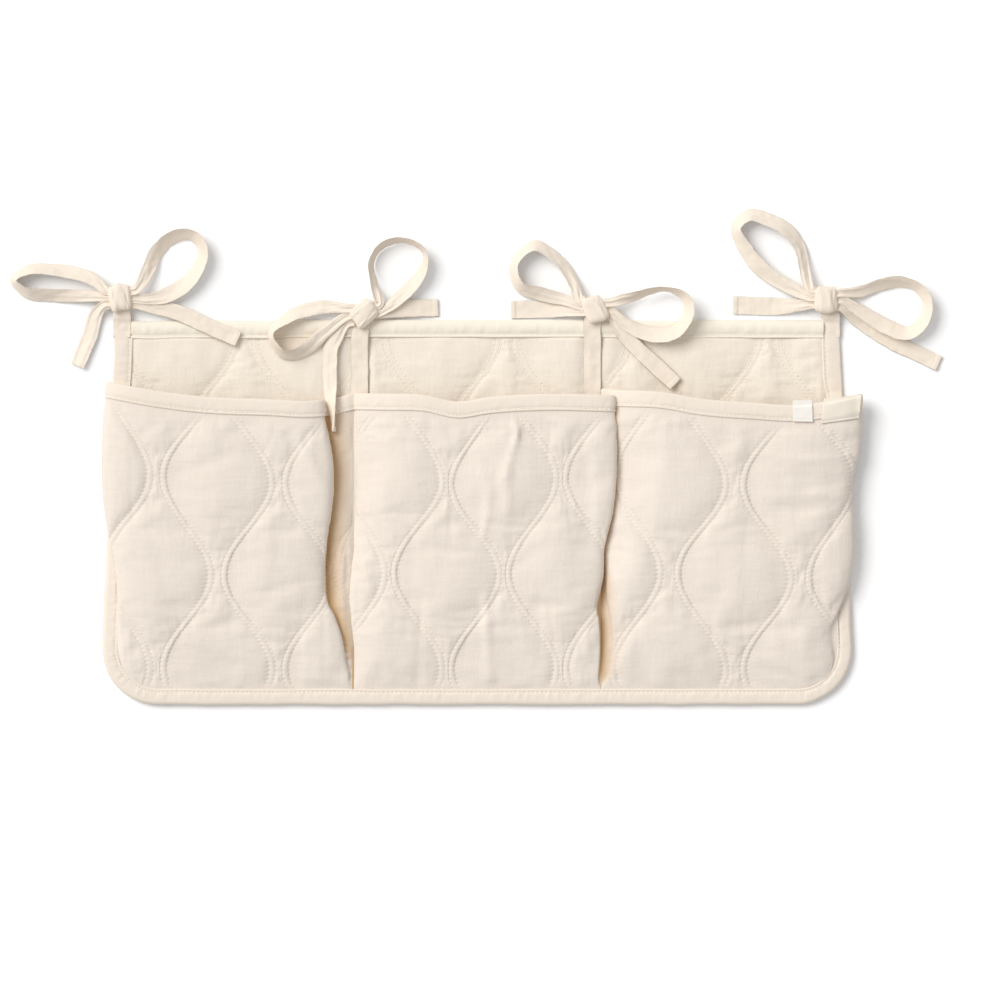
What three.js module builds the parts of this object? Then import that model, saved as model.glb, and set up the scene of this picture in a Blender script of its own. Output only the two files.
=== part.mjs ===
// Playpen organizer: a quilted muslin panel with three pockets and four tie bows, laid flat and face up.
// Sizes are in millimetres. +X points to the right of the front, +Y to the top edge, +Z out of the front.
// The origin is the middle of the rear face, so the whole organizer lies on z = 0.

import * as THREE from 'three';

// The back panel, over its binding
const panelWidth = 600;
const panelTopWidth = 576;
const panelHeight = 306;
const cornerRadius = 45;

// Cloth, wadding and the small clearance between layers
const clothThickness = 0.5;
const waddingThickness = 0.5;
const clearance = 0.3;

// Bias binding round the sides and the bottom, and the folded hem along the top
const bindingWidth = 12;
const bindingThickness = 0.6;
const hemWidth = 13;
const hemRoll = 2.2;
const mouthBindingWidth = 12;

// Wavy channel quilting: neighbouring seams wave in mirror image, so they meet in necks and part in puffs
const waveLength = 150;
const waveSwing = 19;
const backSeamPitch = 52;
const backNeckX = 23.5;
const backNeckDrop = 14.3;
const backPuff = 2.5;
const pocketPuff = 4;
const pocketNeckHeight = 178.8;
const narrowestChannel = 3;

// Pockets: seams that divide them, and each one's seam pitch, a neck's place, mouth drops and gape.
// Mouth drops are measured down from the panel's top edge at the pocket's left, middle and right.
const leftDividerX = -98;
const rightDividerX = 99;
const dividerMargin = 6;
const pleatWidth = 20;
const pockets = [
  { name: 'left', seamPitch: 48.5, neckX: -254.8, mouthDrop: [52, 64, 65], gape: 18 },
  { name: 'centre', seamPitch: 45.5, neckX: -24.2, mouthDrop: [59, 65, 60], gape: 16 },
  { name: 'right', seamPitch: 52, neckX: 204.7, mouthDrop: [54, 66, 61], gape: 21 },
];
const liningDrop = 3;
const liningShare = 0.96;

// Rows of points up a pocket, in pairs because its lining has every second row
const rowPairs = 6;
const pocketRows = 2 * rowPairs;
const mouthRise = 2 / pocketRows;

// How rounded the forms are: a lower power gives fuller puffs and pockets
const puffRound = 0.6;
const puffFade = 0.3;
const gapeRound = 0.6;
const gapeRise = 0.7;

// Ties: the tape, where it is sewn on, and the knots
const tapeWidth = 14;
const tapeThickness = 0.8;
const cornerTapeReach = 24;
const tapeMargin = 2;
const leftTapeAside = 4;
const rightTapeAside = -7.6;
const strapGap = 0.4;
const bunchedShare = 0.5;
const bunchedLength = 3.7;
const knotWidth = 16;
const knotLength = 20;
const knotHeight = 9;
const knotBevel = 1.5;

// Labels, both bare
const smallLabelWidth = 16;
const smallLabelHeight = 17;
const endLabelWidth = 20;
const endLabelHeight = 24;
const labelSpacing = 4;
const labelThickness = 0.4;

// Colours of the undyed cotton, the wadding and the label tape
const colours = {
  cloth: 0xf3eadc,
  binding: 0xf5ebda,
  lining: 0xf1e8d8,
  wadding: 0xf8f5ee,
  tape: 0xf2e6d0,
  label: 0xf7f3ea,
};

const panelBottom = -panelHeight / 2;
const panelTop = panelHeight / 2;
const wallInset = bindingThickness + clearance;
const marginInset = bindingWidth + 1;
const bandMiddle = panelTopWidth / 2 - bindingWidth / 2;

// Heights of the layers where they are sewn flat, from the rear face upwards
const backWaddingLow = bindingThickness + clearance;
const backWaddingHigh = backWaddingLow + waddingThickness;
const backClothLow = backWaddingHigh + clearance;
const backClothHigh = backClothLow + clothThickness;
const onBack = backClothHigh + clearance;
const pocketLiningHigh = onBack + clothThickness;
const pocketWaddingLow = pocketLiningHigh + clearance;
const pocketWaddingHigh = pocketWaddingLow + waddingThickness;
const pocketClothLow = pocketWaddingHigh + clearance;
const pocketClothHigh = pocketClothLow + clothThickness;
const onPocket = pocketClothHigh + clearance;
const onHem = onBack + hemRoll + clearance;
const knotBase = onHem + tapeThickness + clearance;

const lerp = THREE.MathUtils.lerp;
const clamp = THREE.MathUtils.clamp;

const organizer = new THREE.Group();

// Adds one named piece of the organizer
function addPiece(name, geometry, colour) {
  const material = new THREE.MeshStandardMaterial({ color: colour, roughness: 0.9, metalness: 0 });
  const mesh = new THREE.Mesh(geometry, material);
  mesh.name = name;
  organizer.add(mesh);
}

// Half the panel's width at height y, measured to a line that runs a given inset inside its edge
function edgeX(y, inset) {
  const cornerTop = panelBottom + cornerRadius;
  const rise = (Math.max(y, cornerTop) - panelBottom) / panelHeight;
  const side = lerp(panelWidth, panelTopWidth, rise) / 2 - inset;
  const drop = cornerTop - y;
  if (drop <= 0) return side;
  const radius = cornerRadius - inset;
  return side - radius + Math.sqrt(Math.max(radius ** 2 - drop ** 2, 0));
}

// A curve through three evenly spaced values, for t from 0 to 1
function throughThree([first, middle, last], t) {
  return first * (1 - t) * (1 - 2 * t) + 4 * middle * t * (1 - t) + last * t * (2 * t - 1);
}

// One closed geometry from a list of points and a list of triangles
function closedGeometry(points, triangles) {
  const geometry = new THREE.BufferGeometry();
  geometry.setAttribute('position', new THREE.Float32BufferAttribute(points.flat(), 3));
  geometry.setIndex(triangles.flat());
  geometry.computeVertexNormals();
  return geometry;
}

// A solid through a row of equal closed sections, each a list of points in the same turning order. The
// quads of a section's second half are cut the other way, so both faces of a thin strip are cut alike.
function loft(sections, capTriangles) {
  const size = sections[0].length;
  const triangles = [];
  for (let i = 0; i + 1 < sections.length; i++) {
    for (let j = 0; j < size; j++) {
      const a = i * size + j;
      const b = i * size + (j + 1) % size;
      const [c, d] = [a + size, b + size];
      triangles.push(...(j < size / 2 ? [[a, b, d], [a, d, c]] : [[a, b, c], [b, d, c]]));
    }
  }
  const lastStart = (sections.length - 1) * size;
  for (const [a, b, c] of capTriangles) {
    triangles.push([a, c, b], [lastStart + a, lastStart + b, lastStart + c]);
  }
  return closedGeometry(sections.flat(), triangles);
}

// The two ends of a folded band's C section of nine corners: rear leg, rounded wall and front leg
const foldCaps = [[0, 1, 2], [0, 2, 8], [8, 2, 7], [7, 2, 3], [7, 3, 6], [6, 3, 4], [6, 4, 5]];

// Corners of a folded band that wraps an edge. point(n, z) puts n millimetres in from the edge at height z.
function foldSection(point, width, thickness, rear, front, frontThickness) {
  const top = front + frontThickness;
  return [
    point(width, rear),
    point(width, rear + thickness),
    point(thickness, rear + thickness),
    point(thickness, front),
    point(width, front),
    point(width, top),
    point(thickness / 2, top),
    point(0, (rear + top) / 2),
    point(thickness / 2, rear),
  ];
}

// How far along a run of points each one lies, as a share of the whole run
function sharesAlong(run, points) {
  const lengths = [0];
  for (let i = 1; i < run.length; i++) {
    const [a, b] = [points[run[i - 1]], points[run[i]]];
    lengths.push(lengths[i - 1] + Math.hypot(b[0] - a[0], b[1] - a[1]));
  }
  return lengths.map((length) => length / lengths[lengths.length - 1]);
}

// Walks two runs of points at once and fills the wall between them
function wallBetween(upper, lower, points, triangles) {
  const upperShares = sharesAlong(upper, points);
  const lowerShares = sharesAlong(lower, points);
  let i = 0;
  let j = 0;
  while (i + 1 < upper.length || j + 1 < lower.length) {
    const upperNext = upperShares[i + 1] ?? Infinity;
    const lowerNext = lowerShares[j + 1] ?? Infinity;
    if (upperNext <= lowerNext) {
      triangles.push([upper[i], lower[j], upper[i + 1]]);
      i += 1;
    } else {
      triangles.push([upper[i], lower[j], lower[j + 1]]);
      j += 1;
    }
  }
}

// Joins the rows of a surface grid into triangles. The quads of a coarse grid are cut along their lower
// diagonals, so that it stays under a finer grid with the same curve.
function coverGrid(grid, start, facingUp, points, triangles) {
  const columns = grid[0].length;
  for (let r = 0; r + 1 < grid.length; r++) {
    for (let c = 0; c + 1 < columns; c++) {
      const a = start + r * columns + c;
      const [b, d, e] = [a + 1, a + columns, a + columns + 1];
      const cutFromA = !grid.coarse || points[a][2] + points[e][2] <= points[b][2] + points[d][2];
      const pair = cutFromA ? [[a, b, e], [a, e, d]] : [[a, b, d], [b, e, d]];
      for (const [p, q, s] of pair) triangles.push(facingUp ? [p, q, s] : [p, s, q]);
    }
  }
}

// The border of a grid as four runs of point numbers, anticlockwise from its first corner
function gridBorder(grid, start) {
  const rows = grid.length;
  const columns = grid[0].length;
  const at = (r, c) => start + r * columns + c;
  const along = (count, pick) => Array.from({ length: count }, (_, i) => pick(i));
  return [
    along(columns, (i) => at(0, i)),
    along(rows, (i) => at(i, columns - 1)),
    along(columns, (i) => at(rows - 1, columns - 1 - i)),
    along(rows, (i) => at(rows - 1 - i, 0)),
  ];
}

// A layer of cloth or wadding between an upper and a lower surface grid with the same outline
function layer(upper, lower) {
  const points = [...upper.flat(), ...lower.flat()];
  const triangles = [];
  const lowerStart = upper.flat().length;
  coverGrid(upper, 0, true, points, triangles);
  coverGrid(lower, lowerStart, false, points, triangles);
  const upperBorder = gridBorder(upper, 0);
  const lowerBorder = gridBorder(lower, lowerStart);
  upperBorder.forEach((run, side) => wallBetween(run, lowerBorder[side], points, triangles));
  return closedGeometry(points, triangles);
}

// Places the stops of one row. Edges, margins and dividers stay put, and the seams keep apart between them.
function placeStops(stops, xAt) {
  const xs = stops.map(xAt);
  const last = xs.length - 1;
  xs[1] = Math.max(xs[1], xs[0] + narrowestChannel);
  xs[last - 1] = Math.min(xs[last - 1], xs[last] - narrowestChannel);
  for (let from = 1; from < last - 1;) {
    const to = stops.findIndex((stop, i) => i > from && !stop.seam);
    for (let i = from + 1; i < to; i++) {
      const low = xs[from] + (i - from) * narrowestChannel;
      xs[i] = clamp(xs[i], low, Math.max(xs[to] - (to - i) * narrowestChannel, low));
    }
    from = to;
  }
  return xs;
}

// How a row of the grid is divided. Flat strips stay whole, full channels are cut in three.
function splitColumns(stops) {
  const columns = [];
  stops.slice(0, -1).forEach((stop, i) => {
    const steps = stop.flat ? 1 : (stop.partial ? 2 : 3);
    for (let step = 0; step < steps; step++) columns.push({ stop: i, t: step / steps });
  });
  columns.push({ stop: stops.length - 1, t: 0 });
  return columns;
}

// Puff of the wadding at a share t across a channel, less in the narrow necks
function puffShape(t, channelWidth, widestChannel) {
  return Math.sin(Math.PI * t) ** puffRound * Math.sqrt(Math.min(channelWidth / widestChannel, 1));
}

// Wavy seams between two straight limits: each stop gives its place on a row of a given wave phase
function seamStops(neckX, pitch, from, to) {
  const stops = [];
  const first = Math.ceil((from - neckX) / pitch + 0.5);
  for (let k = first; neckX + (k - 0.5) * pitch < to; k++) {
    const sign = k % 2 === 0 ? 1 : -1;
    stops.push({ seam: true, x: (phase) => neckX + (k - 0.5) * pitch + sign * waveSwing * Math.cos(phase) });
  }
  return stops;
}

// Marks what lies between two limits: partial channels beside them and full ones elsewhere
function betweenLimits(limit, seams) {
  limit.flat = false;
  limit.partial = true;
  if (seams.length > 0) seams[seams.length - 1].partial = true;
  return [limit, ...seams];
}

// The back panel

// Flat strips of the back under the two middle tapes, and the seams between them
function backStops() {
  const flatHalf = tapeWidth / 2 + tapeMargin;
  const tapeChannel = (x) => [x - flatHalf, x + flatHalf];
  const [leftFrom, leftTo] = tapeChannel(bows[1].tapeX);
  const [rightFrom, rightTo] = tapeChannel(bows[2].tapeX);
  const seamsBetween = (from, to) => seamStops(backNeckX, backSeamPitch, from + waveSwing, to - waveSwing);
  const edge = panelTopWidth / 2 - marginInset;
  const fixed = (x) => ({ x: () => x, flat: true });
  return [
    { edge: -1, inset: wallInset, flat: true },
    ...betweenLimits({ edge: -1, inset: marginInset }, seamsBetween(-edge, leftFrom)),
    fixed(leftFrom),
    ...betweenLimits({ x: () => leftTo }, seamsBetween(leftTo, rightFrom)),
    fixed(rightFrom),
    ...betweenLimits({ x: () => rightTo }, seamsBetween(rightTo, edge)),
    { edge: 1, inset: marginInset, flat: true },
    { edge: 1, inset: wallInset },
  ];
}

// Rows of the back: the place of each and how much its quilting puffs up. It lies flat behind the pockets.
function backRows() {
  const stripLow = panelTop - Math.min(...pockets.map((pocket) => pocket.mouthDrop[0]));
  const stripHigh = panelTop - hemWidth - clearance;
  const cornerRow = lerp(marginInset, cornerRadius, 0.4);
  const flat = [wallInset, marginInset, cornerRow, cornerRadius].map((rise) => panelBottom + rise);
  const strip = [0, 0.2, 0.5, 0.8, 1].map((share) => (
    { y: lerp(stripLow, stripHigh, share), puff: Math.sin(Math.PI * share) ** puffFade }
  ));
  return [
    ...flat.map((y) => ({ y, puff: 0 })),
    ...strip,
    { y: panelTop - wallInset, puff: 0 },
  ];
}

// Grid of the back at a flat height, raised by the quilting where wanted
function backGrid(height, puffHeight, coarse) {
  const stops = backStops();
  const columns = coarse ? stops.map((_, stop) => ({ stop, t: 0 })) : splitColumns(stops);
  const neckY = panelTop - backNeckDrop;
  const grid = backRows().map((row) => {
    const phase = 2 * Math.PI * (row.y - neckY) / waveLength;
    const edgeAt = (stop) => stop.edge * edgeX(row.y, stop.inset);
    const xs = placeStops(stops, (stop) => (stop.edge ? edgeAt(stop) : stop.x(phase)));
    return columns.map(({ stop, t }) => {
      const width = stop + 1 < xs.length ? xs[stop + 1] - xs[stop] : 0;
      const puff = puffHeight * row.puff * puffShape(t, width, backSeamPitch + 2 * waveSwing);
      return [xs[stop] + t * width, row.y, height + puff];
    });
  });
  grid.coarse = coarse;
  return grid;
}

function addBack() {
  const inset = bindingWidth + clearance;
  const rear = new THREE.Shape();
  const low = panelBottom + inset;
  const radius = cornerRadius - inset;
  const topY = panelTop - hemWidth - clearance;
  const cornerX = edgeX(panelBottom + cornerRadius, cornerRadius);
  rear.moveTo(-cornerX, low);
  rear.lineTo(cornerX, low);
  rear.absarc(cornerX, panelBottom + cornerRadius, radius, -Math.PI / 2, 0, false);
  rear.lineTo(edgeX(topY, inset), topY);
  rear.lineTo(-edgeX(topY, inset), topY);
  rear.lineTo(-cornerX - radius, panelBottom + cornerRadius);
  rear.absarc(-cornerX, panelBottom + cornerRadius, radius, Math.PI, 1.5 * Math.PI, false);
  const rearCloth = new THREE.ExtrudeGeometry(rear, {
    depth: clothThickness,
    bevelEnabled: false,
    curveSegments: 6,
  });
  const quilted = (height) => backGrid(height, backPuff, false);
  const wadding = layer(quilted(backWaddingHigh), backGrid(backWaddingLow, 0, true));
  addPiece('back_rear_cloth', rearCloth, colours.lining);
  addPiece('back_wadding', wadding, colours.wadding);
  addPiece('back_front_cloth', layer(quilted(backClothHigh), quilted(backClothLow)), colours.cloth);
}

// The hem folded over the top edge, between the two side bands, with a roll along its upper third
function addTopHem() {
  const end = panelTopWidth / 2 - bindingWidth - clearance;
  const sections = [end, -end].map((x) => {
    const point = (n, z) => [x, panelTop - n, z];
    const section = foldSection(point, hemWidth, bindingThickness, 0, onBack, hemRoll / 2);
    section[6] = point(hemWidth / 3, onBack + hemRoll);
    section[7] = point(0, onBack);
    return section;
  });
  addPiece('top_hem', loft(sections, foldCaps), colours.binding);
}

// The pockets

// Place of a pocket's mouth edge along Y, at x
function mouthY(pocket, x) {
  const from = pocket.from.nominal;
  const to = pocket.to.nominal;
  return panelTop - throughThree(pocket.mouthDrop, clamp((x - from) / (to - from), 0, 1));
}

// The two sides of each pocket: the panel's edge under the binding, or a divider seam with its margin
function pocketLimits() {
  const edge = panelTopWidth / 2;
  const left = { side: -1, nominal: -edge };
  const right = { side: 1, nominal: edge };
  const divider = (x, away, margin) => (
    { nominal: x, outer: x + away * clearance / 2, inner: x + away * margin }
  );
  return [
    [left, divider(leftDividerX, -1, pleatWidth)],
    [divider(leftDividerX, 1, dividerMargin), divider(rightDividerX, -1, dividerMargin)],
    [divider(rightDividerX, 1, dividerMargin), right],
  ];
}

// Rows of a pocket: y at a given x, and its share of the way from the bottom margin to the mouth.
// The coarser lining spans the curve of the mouth in straight runs, so it ends a little lower.
function pocketRowList(pocket, coarse) {
  const bottom = panelBottom + marginInset;
  const rows = [{ share: 0, y: () => panelBottom + wallInset }];
  for (let i = 0; i <= pocketRows; i++) {
    const share = i / pocketRows;
    const y = (x) => lerp(bottom, mouthY(pocket, x) - mouthBindingWidth - clearance, share);
    rows.push({ share, y });
  }
  const topInset = coarse ? wallInset + liningDrop : wallInset;
  rows.push({ share: 1, y: (x) => mouthY(pocket, x) - topInset });
  return rows;
}

// How far a pocket stands off the back: nothing at its seams, its full gape in the middle of the mouth
function standOff(pocket, across, share) {
  const overMouthBinding = wallInset * clamp((share - 1 + mouthRise) / mouthRise, 0, 1);
  const roundOver = Math.max(1 - Math.abs(2 * clamp(across, 0, 1) - 1) ** 3, 0) ** gapeRound;
  const upwards = Math.sin(Math.PI / 2 * share) ** gapeRise;
  return overMouthBinding + (pocket.gape - overMouthBinding) * roundOver * upwards;
}

// Seams of one pocket between its two margins
function pocketStops(pocket) {
  const { from, to } = pocket;
  const outer = (limit) => (limit.side ? { edge: limit.side, inset: wallInset } : { x: () => limit.outer });
  const inner = (limit) => (limit.side ? { edge: limit.side, inset: marginInset } : { x: () => limit.inner });
  const innerX = (limit) => (limit.side ? limit.side * (panelTopWidth / 2 - marginInset) : limit.inner);
  const [low, high] = [innerX(from) + narrowestChannel, innerX(to) - narrowestChannel];
  const seams = seamStops(pocket.neckX, pocket.seamPitch, low, high);
  return [
    { ...outer(from), flat: true },
    ...betweenLimits(inner(from), seams),
    { ...inner(to), flat: true },
    outer(to),
  ];
}

// Grid of one pocket's layer: flat height at its seams, with the stand-off and the quilting on top
function pocketGrid(pocket, height, puffHeight, coarse) {
  const stops = pocketStops(pocket);
  const middleX = (pocket.from.nominal + pocket.to.nominal) / 2;
  const neckY = panelBottom + pocketNeckHeight;
  const columns = coarse ? stops.map((_, stop) => ({ stop, t: 0 })) : splitColumns(stops);
  const allRows = pocketRowList(pocket, coarse);
  const mouthRow = allRows[pocketRows + 1];
  const rows = coarse ? allRows.filter((_, i) => i === 0 || i % 2 === 1 || i === pocketRows + 2) : allRows;
  const grid = rows.map((row) => {
    const phaseRow = row === allRows[pocketRows + 2] ? mouthRow : row;
    const phase = 2 * Math.PI * (phaseRow.y(middleX) - neckY) / waveLength;
    const edgeAt = (stop) => stop.edge * edgeX(row.y(stop.edge * panelTopWidth / 2), stop.inset);
    const xs = placeStops(stops, (stop) => (stop.edge ? edgeAt(stop) : stop.x(phase)));
    const [innerFrom, innerTo] = [xs[1], xs[xs.length - 2]];
    const puffShare = puffHeight * Math.sin(Math.PI * row.share) ** puffFade;
    return columns.map(({ stop, t }) => {
      const width = stop + 1 < xs.length ? xs[stop + 1] - xs[stop] : 0;
      const x = xs[stop] + t * width;
      const puff = puffShare * puffShape(t, width, pocket.seamPitch + 2 * waveSwing);
      const off = standOff(pocket, (x - innerFrom) / (innerTo - innerFrom), row.share);
      return [x, row.y(x), height + off * (coarse ? liningShare : 1) + puff];
    });
  });
  grid.coarse = coarse;
  return grid;
}

// Height at x on a row of points that runs from left to right
function heightOnRow(row, x) {
  const next = clamp(row.findIndex((point) => point[0] >= x), 1, row.length - 1);
  const [a, b] = [row[next - 1], row[next]];
  return lerp(a[2], b[2], (x - a[0]) / (b[0] - a[0]));
}

// Binding folded over a pocket's mouth, from margin to margin: over the cloth in front and the lining behind
function mouthBinding(pocket) {
  const cloth = pocketGrid(pocket, pocketClothHigh, 0, false).at(-1);
  const lining = pocketGrid(pocket, onBack, 0, true).at(-1);
  const stations = cloth.slice(pocket.from.side ? 1 : 0, pocket.to.side ? -1 : undefined).reverse();
  const sections = stations.map(([x, , z]) => {
    const y = mouthY(pocket, x);
    const rear = heightOnRow(lining, x) - clearance - bindingThickness;
    return foldSection((n, height) => [x, y - n, height], mouthBindingWidth, bindingThickness, rear,
      z + clearance, bindingThickness);
  });
  return loft(sections, foldCaps);
}

function addPockets() {
  pockets.forEach((pocket) => {
    const lining = (height) => pocketGrid(pocket, height, 0, true);
    const quilted = (height) => pocketGrid(pocket, height, pocketPuff, false);
    const liningLayer = layer(lining(pocketLiningHigh), lining(onBack));
    const wadding = layer(quilted(pocketWaddingHigh), lining(pocketWaddingLow));
    const cloth = layer(quilted(pocketClothHigh), quilted(pocketClothLow));
    addPiece(`pocket_${pocket.name}_lining`, liningLayer, colours.lining);
    addPiece(`pocket_${pocket.name}_wadding`, wadding, colours.wadding);
    addPiece(`pocket_${pocket.name}_cloth`, cloth, colours.cloth);
    addPiece(`pocket_${pocket.name}_mouth_binding`, mouthBinding(pocket), colours.binding);
  });
}

// The edge binding

// Points along one side of the panel from the top down to the round corner, with the front leg's height
function sideStations(side, pocket) {
  const mouth = mouthY(pocket, side * panelTopWidth / 2);
  const bottomMargin = panelBottom + marginInset;
  const mouthLow = mouth - mouthBindingWidth - clearance;
  const riseStart = lerp(bottomMargin, mouthLow, 1 - mouthRise);
  const station = (y, front) => ({ x: side * edgeX(y, 0), y, front });
  return [
    station(panelTop, onBack),
    station(mouth + clearance, onBack),
    station(mouth, onPocket + wallInset),
    station(mouthLow, onPocket + wallInset),
    station(riseStart, onPocket),
    station(panelBottom + cornerRadius, onPocket),
  ];
}

// One round lower corner, from the side to the bottom
function cornerStations(side) {
  const steps = 9;
  const centreX = edgeX(panelBottom + cornerRadius, cornerRadius);
  return Array.from({ length: steps }, (_, i) => {
    const angle = Math.PI / 2 * (i + 1) / steps;
    const x = side * (centreX + cornerRadius * Math.cos(angle));
    return { x, y: panelBottom + cornerRadius * (1 - Math.sin(angle)), front: onPocket };
  });
}

function addEdgeBinding() {
  const half = (side, pocket) => [...sideStations(side, pocket), ...cornerStations(side)];
  const stations = [...half(-1, pockets[0]), ...half(1, pockets[2]).reverse()];
  const sections = stations.map((station, i) => {
    const before = stations[Math.max(i - 1, 0)];
    const after = stations[Math.min(i + 1, stations.length - 1)];
    const along = new THREE.Vector2(after.x - before.x, after.y - before.y).normalize();
    const point = (n, z) => [station.x - along.y * n, station.y + along.x * n, z];
    return foldSection(point, bindingWidth, bindingThickness, 0, station.front, bindingThickness);
  });
  addPiece('edge_binding', loft(sections, foldCaps), colours.binding);
}

// The ties

// Each bow is tied in the end of its tape, with its knot a little aside of the tape and above the top edge.
// Places are measured from the middle of the knot. A loop leaves the knot's side at one place along it and
// comes back at another. Points of a route give the place, the height of what lies beneath, the twist in
// degrees (0 is flat, 90 stands on edge) and the share of the tape's width that is spread out.
const overPanel = onHem;
const overMouth = onPocket + wallInset + bindingThickness + clearance;
const tailRoot = knotBase + knotBevel;
const loopEndRoot = tailRoot + tapeThickness + strapGap;
const loopStartRoot = loopEndRoot + tapeThickness + strapGap;
const bows = [
  {
    name: 'bow_1', tapeX: -bandMiddle, knotAside: -2.2, knotAbove: 17.5,
    sides: [
      {
        name: 'left', away: -1,
        loop: { start: 6, end: 1, route: [
          [-20, 14, 6, 20, 0.7], [-45, 21.5, 0.5, 50, 0.9], [-74, 22, 0, 75, 1], [-84.5, 14.5, 0, 85, 1],
          [-76, 5, 0, 70, 1], [-51, 2, 0, 40, 0.9], [-24, 1.5, 5, 5, 0.65],
        ] },
        tail: { start: -5.5, route: [
          [-19, -13, 2, 10, 0.75], [-24, -30, 0.2, 20, 0.85], [-34, -54, 0, 30, 0.8],
        ] },
      },
      {
        name: 'right', away: 1,
        loop: { start: 6, end: -0.5, route: [
          [20, 17, 5, 20, 0.75], [30, 38, 0.5, 50, 0.95], [46, 50, 0, 70, 1], [60, 48, 0, 80, 1],
          [66, 36, 0, 80, 1], [56, 14.5, 0.5, 55, 1], [37, 2, 5, 20, 0.85], [22, -1, 7.4, 0, 0.6],
        ] },
        tail: { start: -5, route: [
          [28, -7.5, 5, 0, 0.8], [47, -12, overPanel, 0, 0.9], [66, -20.5, overPanel, 0, 0.9],
          [94, -33, overPanel, 0, 0.9],
        ] },
      },
    ],
  },
  {
    name: 'bow_2', tapeX: leftDividerX + leftTapeAside, knotAside: 3.8, knotAbove: 5.2,
    sides: [
      {
        name: 'left', away: -1,
        loop: { start: 4, end: -1.5, route: [
          [-35, 5, overPanel, 15, 0.8], [-60, -3, overPanel, 50, 0.9], [-74, -16, overPanel, 80, 1],
          [-66, -31, overPanel, 70, 1], [-52, -32, overPanel, 50, 0.95], [-30, -14, overPanel + 2, 8, 0.7],
        ] },
      },
      {
        name: 'right', away: 1,
        loop: { start: 7, end: 1, route: [
          [11, 24, 3, 55, 0.7], [10, 42, 0, 75, 0.9], [19, 55, 0, 70, 1], [34, 58, 0, 75, 1],
          [48, 49, 0, 80, 1],
          [46, 33, 0, 60, 0.95], [31, 15, 3, 25, 0.8],
        ] },
        tail: { start: -0.5, route: [[33, 3.5, 2.5, 0, 0.95], [59, 4.5, 0, 0, 1]] },
      },
    ],
    tuckedTail: { start: -6.5, route: [
      [-15.8, -9, overPanel + 1.2, 0, 0.5], [-20, -19, overPanel + 0.5, 0, 0.65],
      [-23.5, -31, overPanel, 10, 0.75], [-26, -44, overPanel, 40, 0.8],
      [-25, -58, overPanel, 78, 0.85], [-22.8, -72, overMouth, 86, 0.85], [-22.8, -93, overMouth, 86, 0.8],
    ] },
  },
  {
    name: 'bow_3', tapeX: rightDividerX + rightTapeAside, knotAside: 2, knotAbove: 8.8,
    sides: [
      {
        name: 'left', away: -1,
        loop: { start: 7, end: 2.5, route: [
          [-16, 18, 5, 30, 0.65], [-28, 38, 0.5, 55, 0.85], [-48.5, 50, 0, 70, 1], [-64, 36, 0, 80, 1],
          [-60, 18, 1.5, 65, 1], [-40, 11, 3, 30, 0.85], [-24, 7, 5.5, 5, 0.65],
        ] },
        tail: { start: -2, route: [[-34, -0.5, 1.2, 0, 0.9], [-67, -0.5, 0, 0, 1]] },
      },
      {
        name: 'right', away: 1,
        loop: { start: 5, end: -1.5, route: [
          [28, 12, 5, 30, 0.75], [54, 18, 2.5, 60, 0.95], [72, 13, 4, 80, 1], [76, -1, overPanel, 85, 1],
          [66, -18.5, overPanel, 70, 1], [48, -21.5, overPanel, 40, 0.9], [26, -13, overPanel + 1.4, 5, 0.7],
        ] },
        tail: { start: -6, route: [
          [25, -23, overPanel, 0, 0.8], [47, -44, overPanel, 0, 0.9], [64, -60, overPanel, 0, 0.9],
        ] },
      },
    ],
  },
  {
    name: 'bow_4', tapeX: bandMiddle, knotAside: -5, knotAbove: 16.3,
    sides: [
      {
        name: 'left', away: -1,
        loop: { start: 7, end: 2, route: [
          [-17, 25, 4, 45, 0.7], [-21, 42, 0.5, 60, 0.85], [-32, 56, 0, 65, 1], [-47, 64, 0, 65, 1],
          [-61, 67, 0, 75, 1], [-71, 57, 0, 85, 1], [-65, 42, 0, 60, 1], [-51, 24, 1, 40, 0.95],
          [-24, 7, 5, 10, 0.7],
        ] },
        tail: { start: -4, route: [[-38, -5.5, 0.5, 0, 0.95], [-74, -4.5, 0, 0, 1]] },
      },
      {
        name: 'right', away: 1,
        loop: { start: 5, end: -0.5, route: [
          [28, 6, 2, 40, 0.8], [45, 12, 0, 65, 0.95], [60, 14, 0, 75, 1], [74, 9, 0, 80, 1],
          [81, -4, 0, 85, 1],
          [76, -20, 0, 75, 1], [64, -27, 0, 60, 1], [49, -22, 1.5, 30, 0.9], [27, -9, 4.6, 5, 0.7],
        ] },
        tail: { start: -6, route: [
          [27, -18, 1, 0, 0.75], [53, -34, 0, 0, 0.85], [75, -44, 0, 0, 0.9], [90, -51, 0, 0, 0.9],
        ] },
      },
    ],
  },
];

// Middle of a bow's knot
function knotPlace(bow) {
  return { x: bow.tapeX + bow.knotAside, y: panelTop + bow.knotAbove };
}

// The four corners of a strap's section at a point of it, across the way ahead
function strapSection(middle, ahead, twist, spread) {
  const along = ahead.clone().normalize();
  const level = new THREE.Vector3(-along.y, along.x, 0).normalize();
  const turn = THREE.MathUtils.degToRad(twist);
  const upward = new THREE.Vector3().crossVectors(along, level);
  const across = level.multiplyScalar(Math.cos(turn)).addScaledVector(upward, Math.sin(turn));
  const thick = new THREE.Vector3().crossVectors(along, across).multiplyScalar(tapeThickness / 2);
  across.multiplyScalar(tapeWidth * spread / 2);
  const corner = (u, v) => middle.clone().addScaledVector(across, u).addScaledVector(thick, v).toArray();
  return [corner(-1, -1), corner(1, -1), corner(1, 1), corner(-1, 1)];
}

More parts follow.
